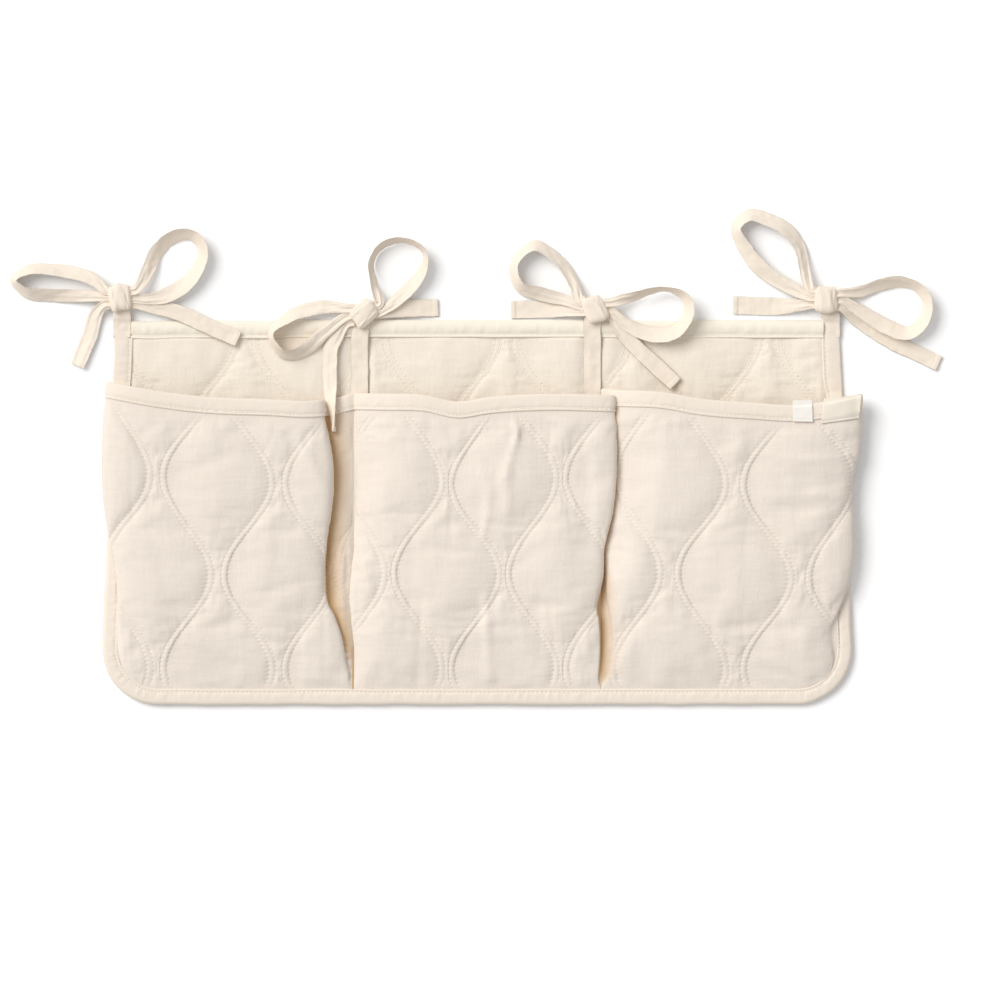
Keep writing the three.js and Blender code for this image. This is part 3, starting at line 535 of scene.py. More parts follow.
# Both ends of each crease, its height and its spread
CREASES = {
    "left": [
        ((-139, 52), (-122, 20), 1.0, 4), ((-108, -40), (-106, -92), 1.6, 3),
        ((-215, 58), (-180, 60), 0.7, 6),
    ],
    "centre": [
        ((29.8, 76), (31.4, 60), 1.5, 3), ((31.4, 60), (23.5, 30), 2.0, 3), ((23.5, 30), (24.2, 6), 1.3, 3),
        ((32.4, 76), (34, 60), -0.7, 1.2), ((34, 60), (26.2, 30), -0.8, 1.2), ((9, 30), (12, 8), -0.6, 1.5),
        ((-45, -70), (-47, -132), -0.8, 2.5), ((50, -62), (48, -128), -0.7, 2.5),
        ((-20, 40), (-22, -40), -0.5, 3), ((6, 30), (10, 13), 1.3, 3), ((10, 13), (6, -13), 1.2, 3),
        ((7, -70), (9, -132), 1.6, 4),
        ((86, 40), (88, -20), -1.2, 6), ((-92, 20), (-93, -30), 0.8, 4), ((-93, -30), (-86, -60), 0.9, 4),
    ],
    "right": [
        ((222, 46), (262, 42), 0.45, 4), ((262, 42), (298, 46), 0.5, 4), ((234, 12), (270, 15), 0.45, 4.5),
        ((270, 15), (294, 12), 0.5, 4), ((250, 29), (285, 26), -0.5, 5), ((262, -40), (284, -54), 0.7, 5),
    ],
}


def edge_x(y, inset):
    """Half the panel's width at height y, measured to a line that runs inset inside its edge."""
    corner_top = PANEL_BOTTOM + CORNER
    rise = (np.maximum(y, corner_top) - PANEL_BOTTOM) / (PANEL_TOP - PANEL_BOTTOM)
    side = (PANEL_WIDE + (PANEL_NARROW - PANEL_WIDE) * rise) / 2 - inset
    radius = CORNER - inset
    return side - radius + np.sqrt(np.maximum(radius**2 - np.maximum(corner_top - y, 0) ** 2, 0))


# %% Section of a pocket across one row
def at_height(given, y):
    """A number as it is, or the value at height y of a list of heights and values."""
    return curve(y, given) if isinstance(given, list) else given


def section(pocket, y, share):
    """Dense points (x, z) across a pocket at height y, and the flat cloth's place of each.

    Cloth lies true to its place on top, and the rest is measured along the curve down each side.
    """
    grown = smooth(share / 0.22)
    high = SEWN_AT + pocket["gape"] * math.sin(math.pi / 2 * share) ** 0.7
    angle = np.linspace(0, math.pi / 2, 24)
    ends = []
    for away, side in zip((-1, 1), pocket["sides"]):
        if "foot" in side:
            spread, foot, foot_z = smooth(share / 0.06), curve(y, side["foot"]), SEWN_AT + 0.2 * grown
        else:
            spread, foot = grown, away * edge_x(y, FOOT)
            foot_z = SEWN_AT + 2.6 * smooth((share - 0.03) / 0.22)
        fold = foot + spread * (curve(y, side["fold"]) - foot)
        middle_z = foot_z + at_height(side["turn"], y) * max(high - foot_z, 0)
        rise = (max(high, foot_z + 0.3) - middle_z) * np.sin(angle) ** at_height(side["rise"], y)
        shoulder = curve(y, side["shoulder"]) * (0.35 + 0.65 * grown)
        tuck = [foot + (fold - foot) * np.sin(angle), foot_z + (middle_z - foot_z) * (1 - np.cos(angle))]
        turn = [fold - away * shoulder * (1 - np.cos(angle[1:])), middle_z + rise[1:]]
        end = np.concatenate([tuck, turn], 1)
        if away == 1 and "tail" in pocket:
            reach = np.linspace(0, 1, 12)[:-1]
            flank = np.outer([pocket["tail"], SEWN_AT], 1 - reach) + np.outer([foot, foot_z], reach)
            flank[1] += 2.4 * grown * np.sin(math.pi * (1 - reach) ** 1.6)
            end = np.concatenate([flank, end], 1)
        ends.append(end)
    left, right = ends
    t = np.linspace(0, 1, 60)[1:-1]
    top = left[:, -1:] + (right[:, -1:] - left[:, -1:]) * t
    top[1] += 0.6 * grown * np.sin(math.pi * t)
    line = np.concatenate([left, top, right[:, ::-1]], 1)
    run, centre = run_along(line.T), left.shape[1] + 29
    return line, run - run[centre] + line[0, centre]


# %% Grid of a pocket
MOUTH_BAND = 13
ROWS = 341


def pocket_grid(pocket):
    """Base points of a pocket, what each column is, and each row's share of the way up to its mouth band."""
    bottom = PANEL_BOTTOM + FOOT
    shares = np.append(np.linspace(0, 1, ROWS - MOUTH_BAND), np.ones(MOUTH_BAND))
    rises = np.append(np.zeros(ROWS - MOUTH_BAND), 1.0 + np.arange(MOUTH_BAND))
    points, kinds = [], []
    for share, rise in zip(shares, rises):
        mid_y = bottom + share * (MEAN_MOUTH_Y - MOUTH_BAND - bottom) + rise
        (xs, zs), flat = section(pocket, mid_y, share)
        seams = wave_seams(pocket["neck_x"], pocket["pitch"], NECK_Y, *pocket["seams"], mid_y)
        kinds.append(split_row(flat[0], flat[-1], seams))
        x, z = (np.interp(kinds[-1][0], flat, values) for values in (xs, zs))
        y = bottom + share * (curve(x, pocket["mouth"]) - MOUTH_BAND - bottom) + rise
        points.append(np.stack([x, y, z], -1))
    return np.array(points), np.stack(kinds, 1), shares[:, None]


def layer_below(base, out, depth, tail):
    """The surface that lies depth under the cloth. Inside an overhanging side it runs straight down.

    A side that goes on in a tail of cloth turns widely enough to be followed all round.
    """
    below = base - depth * out
    for columns in (slice(None), slice(None, None, -1))[: 1 if tail else 2]:
        turned = below[:, columns]
        first = np.argmax(out[:, columns, 2] > 0.2, axis=1)
        for row, column in enumerate(first):
            turned[row, :column, 0] = turned[row, column, 0]
            turned[row, :column, 2] = base[row, columns][:column, 2] - 0.2 * depth
    return below


def crease_relief(name, points):
    """Soft ridges and hollows along the folds that the pocket took from lying about."""
    relief = np.zeros(points.shape[:2])
    for start, end, height, spread in CREASES[name]:
        run = math.dist(start, end)
        ahead = np.subtract(end, start) / run
        away = points[..., :2] - start
        along, beside = away @ ahead, away @ (ahead[::-1] * [1, -1])
        past = along - np.clip(along, 0, run)
        relief += height * np.exp(-((beside / spread) ** 2) - (past / 9) ** 2)
    return relief


# %% Stitches
# Four rings of a stitch: how far along it they lie, how thick it is there, and how high on the cloth
STITCH_RINGS = ((0, 0.35, -0.3), (0.16, 0.95, 0.05), (0.84, 0.95, 0.05), (1, 0.35, -0.3))


def stitches(name, lines):
    """Short rounded threads, one for each stitch, along lines of points on the cloth.

    A line is three arrays: its points, the direction out of the cloth at each of them, and how far along
    its seam each lies. A stitch goes from hole to hole, and holes are a stitch length apart on the seam.
    """
    holes = []
    for points, out, run in lines:
        first = STITCH * np.arange(math.ceil(run[0] / STITCH), math.floor(run[-1] / STITCH)) + HOLE
        last = first + STITCH - 2 * HOLE
        holes.append([read_at(first, run, points), read_at(last, run, points), read_at(first, run, out)])
    start, end, out = np.concatenate(holes, 1)
    turn = np.linspace(0, 2 * math.pi, 6, endpoint=False)[:, None]
    round_it = np.cross(unit(end - start), out)[:, None] * np.cos(turn) + out[:, None] * np.sin(turn)
    sections = []
    for along, radius, raised in STITCH_RINGS:
        middle = start + (end - start) * along + out * (0.12 + raised * THREAD * 2)
        sections.append(middle[:, None] + THREAD * radius * round_it)
    points = np.stack(sections, 1).reshape(-1, 3)
    here = np.arange(len(points)).reshape(-1, 4, 6)
    after = np.roll(here, -1, 2)
    sides = np.stack([after[:, :-1], here[:, :-1], here[:, 1:], after[:, 1:]], -1).reshape(-1, 4)
    made = piece(name, (points, [sides, here[:, 0], here[:, 3, ::-1]]), thread)
    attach(made, "root")
    print(name, len(start), "stitches")


def seam_lines(body, seam, shown, along):
    """The two stitch lines of every seam of a quilted grid, where the cloth lies open."""
    out = normals(body)
    lines = []
    for first in range(PUFF_STEPS, body.shape[1] - 1, PUFF_STEPS + SEAM_STEPS):
        for column in (first + 1, first + SEAM_STEPS - 1):
            keep = (seam[:, column] > 0.6) & shown[:, column]
            edges = np.flatnonzero(np.diff(keep.astype(int), prepend=0, append=0))
            for low, high in zip(edges[::2], edges[1::2]):
                if high - low > 10:
                    lines.append([what[low:high, column] for what in (body, out, along)])
    return lines


# %% Make the quilted pockets and their linings
def painted_fold_shade(name, points):
    """Painted fold shade of each point: most beside the next pocket's edge, and fading away from it."""
    x, y = points[..., 0], points[..., 1]
    if name == "left":
        over = curve(y, POCKETS["left"]["sides"][1]["fold"])
        edge = np.argmax(x > over - 0.7, axis=1)[:, None]
        beyond = np.arange(x.shape[1])[None] - edge
        return smooth((beyond - 1) / 3) * (0.1 + 0.9 * np.exp(-((np.abs(x - over) / 10.5) ** 1.5)))
    beyond = x - curve(y, POCKETS["centre"]["sides"][1]["fold"])
    low = smooth((-40 - y) / 30) * smooth((y + 142) / 16)
    if name == "centre":
        return 0.85 * smooth((beyond + 0.6) / 1.2) * low
    return (x < 130) * (0.85 + 0.15 * low) * np.exp(-((np.maximum(beyond, 0) / (1.8 + 6.5 * low)) ** 1.6))


grids = {}
for name, pocket in POCKETS.items():
    base, (place, aside, part, width, seam), share = pocket_grid(pocket)
    out, below = normals(base), base[-1:, :, 1] - base[..., 1]
    from_side = np.minimum(place - place[:, :1], place[:, -1:] - place)
    loose = smooth(share / 0.05) * smooth((below - MOUTH_BAND) / 12) * (0.2 + 0.8 * smooth(from_side / 16))
    widest = pocket["pitch"] + 2 * WAVE_SWING
    body = base + out * (PUFF_HIGH * loose * puff(part, width, widest))[..., None]
    pinned = (seam > 0) | (width == 0) | (loose < 0.35)
    pinned[:, :3] = pinned[:, -3:] = True
    body = body + swell(name, body, pinned, 1.5, halvings=2)
    along = run_along(base)
    relief = seam_relief(aside, seam, along) + puckers(part, width, along)
    relief *= smooth((out[..., 2] - 0.1) / 0.5)
    relief += crinkle(place, base[..., 1], 1.0) + crease_relief(name, base)
    body = body + normals(body) * (relief * (0.05 + 0.95 * loose))[..., None]
    grids[name] = base, out, body

    kept, tail = slice(ROWS - 2), "tail" in pocket
    form = closed_layer(body[kept], layer_below(base, out, QUILT_THICK, tail)[kept], 2)
    nodes = f"pocket_{name}_cloth", f"pocket_{name}_wadding"
    quilt = dress(f"pocket_{name}_quilt", form, muslin, "quilted_cotton", *nodes)
    # Painted shade: the quilt's colour turns tan in its folds beside the next pocket
    store_fold_shade(quilt, painted_fold_shade(name, body[kept]))
    open_cloth = (share > 0.01) & (below > MOUTH_BAND + 1) & (from_side > 14)
    stitches(f"pocket_{name}_stitches", seam_lines(body, seam, open_cloth, along))

    uneven = crinkle(place, base[..., 1], 0.8)[..., None] * np.maximum(out[..., 2:], 0)
    inside = layer_below(base, out, TO_LINING, tail) - out * (uneven + 0.3)
    inside[..., 2] = np.maximum(inside[..., 2], 2.6)
    rear = inside - 0.4 * out
    rear[..., 2] = np.maximum(rear[..., 2], 2.3)
    inside, rear = inside[kept][::2, ::2], rear[kept][::2, ::2]
    form = closed_layer(inside, rear)
    sheet = dress(f"pocket_{name}_inside", form, lining, "lining_cotton", f"pocket_{name}_lining")
    widths = run_along(np.swapaxes(inside, 0, 1))[-1] * MM
    across, mean = float(max(widths[-1], widths.mean())), float(widths.mean())

# %% [markdown]
# ## The back
# Behind the pockets the back is one quilted panel. Only its top strip shows, with the same waves drawn
# together at the hem, and its plain rear cloth, which dips a little along every seam. The strip gets fine
# rows, and the part that the pockets hide gets coarse ones.

# %% Back quilt
TAPE_X = (-94, 91.4)
BACK_INSET, BACK_PITCH, BACK_NECK = 1.2, 52, (23.5, PANEL_TOP - 14.3)
BACK_SEAM_Z, BACK_UNDER_Z = 2.2, 0.95


def back_grid(rows):
    """Base points of the back at the seams' height, and what each column is."""
    kinds = []
    for y in rows:
        half = edge_x(y, BACK_INSET)
        seams = wave_seams(BACK_NECK[0], BACK_PITCH, BACK_NECK[1], -5, 5, y)
        kinds.append(split_row(-half, half, seams))
    kinds = np.stack(kinds, 1)
    return np.stack(np.broadcast_arrays(kinds[0], rows[:, None], BACK_SEAM_Z), -1), kinds


widest = BACK_PITCH + 2 * WAVE_SWING
rows = np.append(np.linspace(-151, 82, 37)[:-1], np.linspace(82, 151.4, 97))
base, (x, aside, part, width, seam) = back_grid(rows)
y = base[..., 1]
clear = np.prod([smooth((np.abs(x - tape_x) - 6) / 7) for tape_x in TAPE_X], axis=0)
clear *= smooth((edge_x(y, 12) - np.abs(x)) / 6)
loose = smooth((y - 80) / 12) * smooth((142 - y) / 6) * clear
body = base.copy()
body[..., 2] += 2.2 * loose * puff(part, width, widest) - 0.2
body += swell("back", body, (seam > 0) | (width == 0) | (loose < 0.4), 0.6, depth=1.4)
along = run_along(base)
relief = 0.9 * seam_relief(aside, seam, along) + 0.7 * puckers(part, width, along) + crinkle(x, y, 0.8)
body[..., 2] = np.clip(body[..., 2] + relief * (0.12 + 0.88 * loose), 1.75, 5.2)
behind = base.copy()
behind[..., 2] = BACK_UNDER_Z
nodes = "back_front_cloth", "back_wadding"
back = dress("back_quilt", closed_layer(body, behind, 2), back_muslin, "quilted_cotton", *nodes)
open_cloth = (y > 84) & (y < 139.5) & (clear > 0.05)
stitches("back_stitches", seam_lines(body, seam, open_cloth, along))
print("back quilt:", body.shape)

# %% Rear cloth
base, kinds = back_grid(np.linspace(-141, 139.6, 105))
x, _, part, width, _ = kinds[..., ::2]
y = base[:, ::2, 1]
swollen = puff(part, width, widest) + 0.35 * crinkle(x, y, 1.0)
x = x * edge_x(y, 12.4) / edge_x(y, BACK_INSET)
rear = np.stack([x, y, 0.75 - 0.6 * np.clip(swollen, 0, 1.1)], -1)
front = np.stack([x, y, np.full_like(x, 0.9)], -1)
rear_piece = dress("back_rear", closed_layer(front, rear), lining, "lining_cotton", "back_rear_cloth")
print("rear cloth:", rear.shape)

# %% [markdown]
# ## Bindings and hem
# The edges are wrapped in a bias strip, folded in half over the layers and stitched close to its inner
# edge. The stitching pulls the strip into a shallow groove with a lip, and small puckers run across it.
# One section is swept along each edge: a rear leg, a round fold and a front leg with groove and lip.

# %% A folded strip
# A strip's thickness, and how far inside its front edge it is sewn
STRIP_THICK, GROOVE = 0.9, 2.2


def strip_sections(run, width, rear, front, lift, roll=0.5):
    """Closed sections of a strip folded over an edge, from the rear leg round to the front leg.

    Each point is its distance inwards from the fold and its height. The front leg is sewn down in a groove
    that dips at each stitch along the run, and lift raises the leg beside it for puckers.
    """
    given = np.broadcast_arrays(run, width, rear, front, lift)
    run, width, rear, front, lift = (np.reshape(values, (-1, 1)) for values in given)
    half, middle = (front - rear) / 2, (front + rear) / 2
    reach = np.minimum(half, 4.0) * roll * 2
    under, inner = front - STRIP_THICK, reach + STRIP_THICK
    bend = np.linspace(-math.pi / 2, math.pi / 2, 9)
    legs = np.array([0.25, 0.45, 0.6])
    groove = front + [0.12, -0.35, 0.3, 0.42, 0.05, -0.5] - 0.2 * beat(run) * [0, 1, 0, 0, 0, 0]
    parts = [
        (width * [1, 0.6], rear),
        (reach * (1 - np.cos(bend)), middle + half * np.sin(bend)),
        (reach + (width - reach) * legs, front + (0.35 + lift) * np.sin(math.pi * legs)),
        (width - [GROOVE + 1, GROOVE, GROOVE - 0.8, 0.7, 0.2, 0], groove),
        (width + (inner - width) * np.linspace(0, 1, 6), under),
        (reach * [0.5, 0, 0.5] + [0.9, 1.0, 0.9], np.hstack([under - 0.15, middle, rear + 0.6])),
        (inner + (width - inner) * np.linspace(0, 1, 5), rear + 0.5),
    ]
    return np.concatenate([np.stack(np.broadcast_arrays(*part), -1) for part in parts], 1)


def add_strip(names, sections, material, node, line, flat):
    """A folded strip and the row of stitches along it."""
    strip = dress(names[0], rings(sections), material, "binding_cotton", node)
    stitches(names[1], [line])
    print(names[0], len(sections), "sections over", round(flat[1] / MM), "mm")


# %% Edge binding
def edge_path(step):
    """Places and inward directions along the panel's edge, from its top left round to its top right."""
    corner_y = PANEL_BOTTOM + CORNER
    y = np.linspace(PANEL_TOP, corner_y, 300)
    angle = np.linspace(0, math.pi / 2, 60)[1:]
    round_x = -edge_x(corner_y, CORNER) - CORNER * np.cos(angle)
    half = np.stack([np.append(-edge_x(y, 0), round_x), np.append(y, corner_y - CORNER * np.sin(angle))], -1)
    whole = np.concatenate([half, (half * [-1, 1])[::-1]])
    run = run_along(whole)
    at = np.linspace(0, run[-1], int(run[-1] / step) + 1)
    path = read_at(at, run, whole)
    return path, unit(np.gradient(path, axis=0))[:, ::-1] * [-1, 1], at


path, inward, at = edge_path(0.8)
thicker_below = np.where(path[:, 0] < 0, 105.5, 96.5)
front = 3.1 + 3.2 * smooth((thicker_below - path[:, 1]) / 12)
width = 12.6 + 0.4 * wander(at, 40, 33) + 2.2 * smooth((path[:, 1] - 85) / 25)
shape = strip_sections(at, width, 0.02, front, 0.35 * wander(at, 3.4, 32))
inside = shape[..., :1] + 0.5 * wander(at, 17, 31)[:, None, None] * (1 - shape[..., :1] / 13)
sections = np.concatenate([path[:, None] + inward[:, None] * inside, shape[..., 1:]], -1)
sewn = np.column_stack([path + inward * (width - GROOVE)[:, None], front - 0.3])
line = sewn, np.tile([0.0, 0, 1], (len(at), 1)), at
names = "edge_strip", "edge_stitches"
add_strip(names, sections, bias, "edge_binding", line, (0.0275, float(at[-1]) * MM))

# %% Top hem
HEM_WIDTH, HEM_END, HEM_TOP = 14.2, 275.4, 3.5
across = np.linspace(HEM_END, -HEM_END, 690)
top = PANEL_TOP + 1.0 * wander(across, 60, 41) + 0.5 * wander(across, 23, 42)
lift = 0.5 + 0.4 * wander(across, 3.6, 43)
shape = strip_sections(across, HEM_WIDTH, 0.02, HEM_TOP, lift, roll=0.8)
inside, up = np.moveaxis(shape, -1, 0)
up = up + 1.1 * np.exp(-(((inside - 4.5) / 3) ** 2)) * (up > 2)
sections = np.stack(np.broadcast_arrays(across[:, None], top[:, None] - inside, up), -1)
sewn = np.stack(np.broadcast_arrays(across, top - HEM_WIDTH + GROOVE, HEM_TOP - 0.25), -1)
line = sewn, np.tile([0.0, 0, 1], (len(across), 1)), HEM_END - across
names = "top_hem_fold", "hem_stitches"
add_strip(names, sections, hem_cloth, "top_hem", line, (0.031, 0.551))


# %% Mouth bindings
def on_pocket(name, columns, drop, height):
    """Points on a pocket's mouth band: drop below the mouth's edge and height off the base surface."""
    base, out, _ = grids[name]
    band = len(base) - 1 - np.clip(drop, 0, MOUTH_BAND)
    low = np.minimum(np.floor(band).astype(int), len(base) - 2)
    t = (band - low)[..., None]
    point, normal = (grid[low, columns] * (1 - t) + grid[low + 1, columns] * t for grid in (base, out))
    point = point + normal * height
    point[..., 1] -= np.minimum(drop, 0)
    return point


MOUTH_LIP = 1.2
for name in POCKETS:
    base, out, _ = grids[name]
    run = run_along(base[-1])
    wanted = np.linspace(0, run[-1], int(run[-1] / 1.1) + 1)
    columns = np.unique(np.searchsorted(run, wanted).clip(0, len(run) - 1))
    at = run[columns]
    width = 13.2 + 0.5 * wander(at, 37, 52)
    shape = strip_sections(at, width, -3.6, 0.9, 0.35 * wander(at, 3.2, 51))
    sections = on_pocket(name, columns[:, None], shape[..., 0] - MOUTH_LIP, shape[..., 1:])[::-1]
    sections[..., 2] = np.maximum(sections[..., 2], 2.45)
    sewn = on_pocket(name, columns, width - MOUTH_LIP - GROOVE, 0.6)
    line = sewn, out[-MOUTH_BAND, columns], at
    flat = 0.031, float(run[-1]) * MM
    names = f"pocket_{name}_mouth", f"pocket_{name}_mouth_stitches"
    add_strip(names, sections, bias, f"pocket_{name}_mouth_binding", line, flat)

# %% [markdown]
# ## Ties and bows
# Each tie is a cotton tape, folded double and stitched near one edge. Its end is knotted in a bow, whose
# loops stand partly on edge. A tape is a ribbon: a path through a few points, with a twist and a spread
# at each. Where it enters the knot it is bunched, so its section goes from a flat strip to small pleats.

# %% Routes of the bows
TAPE_WIDTH, TAPE_THICK = 14, 0.9
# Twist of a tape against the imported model's, which stands steeply on edge. Real ones show more face
TWIST = {"bow_1_loop_left": 0.8, "bow_2_loop_left": 0.88, "bow_2_loop_right": 0.93, "bow_3_loop_left": 0.78,
         "bow_3_loop_right": 0.86}
TWIST_OF_OTHERS = 0.66
# Heights of cloth that tapes lie on, and of tapes where they leave a knot
ON_HEM, ON_MOUTH = 5.0, 6.7
TAIL_ROOT, END_ROOT, START_ROOT = 7.6, 8.8, 10.0
# Places beside a knot's middle: of a tape's first two stations, and where its bend begins and ends
ROOT_AWAY, BEND_AWAY, BEND_Z = (7.2, 11.9), (8, 19), 10.7
KNOTS = {"bow_1": (-284.2, 170.5), "bow_2": (-90.2, 158.2), "bow_3": (93.4, 161.8), "bow_4": (277.0, 169.3)}
# How far above the knot's middle a tape leaves it, and for a loop how far above it comes back. Then the
# route's points: aside and above the knot, height of what lies beneath, twist in degrees, spread
LOOPS = {
    "bow_1_loop_left": (6, 1, [
        (-20, 14, 6, 20, 0.7), (-45, 21.5, 0.5, 50, 0.9), (-74, 22, 0, 75, 1), (-84.5, 14.5, 0, 85, 1),
        (-76, 5, 0, 70, 1), (-51, 2, 0, 40, 0.9), (-24, 1.5, 5, 5, 0.65)]),
    "bow_1_loop_right": (6, -0.5, [
        (20, 17, 5, 20, 0.75), (30, 38, 0.5, 50, 0.95), (46, 50, 0, 70, 1), (60, 48, 0, 80, 1),
        (66, 36, 0, 80, 1), (56, 14.5, 0.5, 55, 1), (37, 2, 5, 20, 0.85), (22, -1, 7.4, 0, 0.6)]),
    "bow_2_loop_left": (4, -1.5, [
        (-35, 5, ON_HEM, 15, 0.8), (-60, -3, ON_HEM, 50, 0.9), (-74, -16, ON_HEM, 80, 1),
        (-66, -31, ON_HEM, 70, 1), (-52, -32, ON_HEM, 50, 0.95), (-30, -14, ON_HEM + 2, 8, 0.7)]),
    "bow_2_loop_right": (7, 1, [
        (8, 24, 3, 55, 0.7), (5.5, 41, 0, 75, 0.9), (15, 54.5, 0, 70, 1), (33, 58, 0, 75, 1),
        (48, 49, 0, 80, 1), (46, 33, 0, 60, 0.95), (31, 15, 3, 25, 0.8)]),
    "bow_3_loop_left": (7, 2.5, [
        (-16, 18, 5, 30, 0.65), (-28, 38, 0.5, 55, 0.85), (-48.5, 50, 0, 70, 1), (-64, 36, 0, 80, 1),
        (-60, 18, 1.5, 65, 1), (-40, 11, 3, 30, 0.85), (-24, 7, 5.5, 5, 0.65)]),
    "bow_3_loop_right": (5, -1.5, [
        (28, 9, 5, 50, 0.75), (53, 16, 2.5, 84, 0.95), (71, 10, 4, 70, 1), (75, -2, ON_HEM, 66, 1),
        (65, -17.5, ON_HEM, 50, 1), (48, -20.5, ON_HEM, 24, 0.95), (26, -13, ON_HEM + 1.4, 5, 0.7)]),
    "bow_4_loop_left": (7, 2, [
        (-17, 25, 4, 45, 0.7), (-21, 42, 0.5, 60, 0.85), (-32, 56, 0, 65, 1), (-47, 64, 0, 65, 1),
        (-61, 67, 0, 75, 1), (-71, 57, 0, 85, 1), (-65, 42, 0, 60, 1), (-51, 24, 1, 40, 0.95),
        (-24, 7, 5, 10, 0.7)]),
    "bow_4_loop_right": (5, -0.5, [
        (28, 6, 2, 40, 0.8), (45, 12, 0, 65, 0.95), (60, 14, 0, 75, 1), (74, 9, 0, 80, 1),
        (81, -4, 0, 85, 1), (76, -20, 0, 75, 1), (64, -27, 0, 60, 1), (49, -22, 1.5, 30, 0.9),
        (27, -9, 4.6, 5, 0.7)]),
}
TAILS = {
    "bow_1_tail_left": (-5.5, [(-19, -13, 2, 10, 0.75), (-24, -30, 0.2, 20, 0.85), (-34, -54, 0, 30, 0.8)]),
    "bow_1_tail_right": (-5, [
        (28, -7.5, 5, 0, 0.8), (47, -12, ON_HEM, 0, 0.9), (66, -20.5, ON_HEM, 0, 0.9),
        (94, -33, ON_HEM, 0, 0.9)]),
    "bow_2_tail_right": (-0.5, [(33, 3.5, 2.5, 0, 0.95), (59, 4.5, 0, 0, 1)]),
    "bow_2_tail_tucked": (-6.5, [
        (-15.8, -9, ON_HEM + 1.2, 0, 0.55), (-21.5, -18, ON_HEM + 0.4, 0, 0.75),
        (-26.4, -28, ON_HEM, 12, 0.85), (-27.4, -42, ON_HEM - 0.6, 18, 0.85), (-27, -58, ON_HEM, 26, 0.8),
        (-26.2, -71, ON_MOUTH + 1, 56, 0.75), (-25.2, -83, ON_MOUTH, 95, 0.65),
        (-24.4, -94, ON_MOUTH, 120, 0.55)]),
    "bow_3_tail_left": (-2, [(-34, -0.5, 1.2, 0, 0.9), (-67, -0.5, 0, 0, 1)]),
    "bow_3_tail_right": (-6, [
        (25, -23, ON_HEM, 0, 0.8), (47, -44, ON_HEM, 0, 0.9), (64, -60, ON_HEM, 0, 0.9)]),
    "bow_4_tail_left": (-4, [(-38, -5.5, 0.5, 0, 0.95), (-74, -4.5, 0, 0, 1)]),
    "bow_4_tail_right": (-6, [
        (27, -18, 1, 0, 0.75), (53, -34, 0, 0, 0.85), (75, -44, 0, 0, 0.9), (90, -51, 0, 0, 0.9)]),
}


# %% Ribbons
def spline(points, steps):
    """A smooth path through points, with the same number of steps between each two of them."""
    points = np.array(points, float)
    full = np.concatenate([[2 * points[0] - points[1]], points, [2 * points[-1] - points[-2]]])
    gap = np.maximum(np.linalg.norm(np.diff(full[:, :3], axis=0), axis=1) ** 0.5, 1e-6)[:, None]
    slope = np.diff(full, axis=0) / gap
    ahead = slope[:-1] + slope[1:] - (full[2:] - full[:-2]) / (gap[:-1] + gap[1:])
    t, gap = np.linspace(0, 1, steps + 1)[:-1, None], gap[1:-1, None]
    made = hermite(t, points[:-1, None], points[1:, None], ahead[:-1, None] * gap, ahead[1:, None] * gap)
    return np.concatenate([made.reshape(-1, points.shape[1]), points[-1:]])


def ribbon(stations, width, seed, hem_end=False):
    """Closed sections of a tape through stations of x, y, z, twist in degrees and spread share."""
    dense = spline(stations, 24)
    run = run_along(dense[:, :3])
    at = np.linspace(0, run[-1], max(int(run[-1] / 0.9), 8) + 1)
    line = read_at(at, run, dense)
    place, twist, spread = line[:, :3], np.radians(line[:, 3:4]), np.clip(line[:, 4:], 0.4, 1)
    ahead = unit(np.gradient(place, axis=0))
    level = unit(ahead[:, [1, 0, 2]] * [-1, 1, 0])
    across = level * np.cos(twist) + np.cross(ahead, level) * np.sin(twist)
    v = np.append(np.linspace(-1, 1, 23), np.linspace(1, -1, 23))
    face = np.repeat([1.0, -1.0], 23)
    at, off = at[:, None], v * width / 2
    drift = 1.5 * wander(at, 14, seed) + seed
    waves = 0.55 * np.cos(1.5 * math.pi * v + drift) + 0.2 * np.cos(3.1 * math.pi * v - 2 * drift)
    sag = 0.5 * noise(at, off, 11, 7, seed + 1) + 0.3 * (v**2 - 0.5) + 0.22 * noise(at, off, 4, 4, seed + 3)
    stitched = -0.24 * np.exp(-(((v - 0.72) * width / 2 / 0.55) ** 2)) * face * (0.6 + 0.4 * beat(at))
    thicker = 1.0
    if hem_end:
        left = at[-1] - at
        thicker = 1 + smooth((6 - left) / 1.2) * 0.9 - 1.1 * np.exp(-(((4.6 - left) / 0.7) ** 2))
    depth = TAPE_THICK / 2 * (1 - np.abs(v) ** 8) ** 0.5 * face * thicker + (1 - spread) * 2 * waves
    depth = depth + sag + stitched
    aside = off * spread + 0.25 * noise(at, v * 3, 6, 2, seed + 2)
    sections = place[:, None] + across[:, None] * aside[..., None]
    return sections + np.cross(ahead, across)[:, None] * depth[..., None], float(run[-1])


def resting(name, x, y, beneath, twist, spread):
    """A station of a tape that rests on what lies beneath it."""
    twist *= TWIST.get(name, TWIST_OF_OTHERS)
    turn = math.radians(twist)
    up = (TAPE_WIDTH * spread * math.sin(turn) + TAPE_THICK * math.cos(turn)) / 2
    return x, y, beneath + 0.3 + up, twist, spread


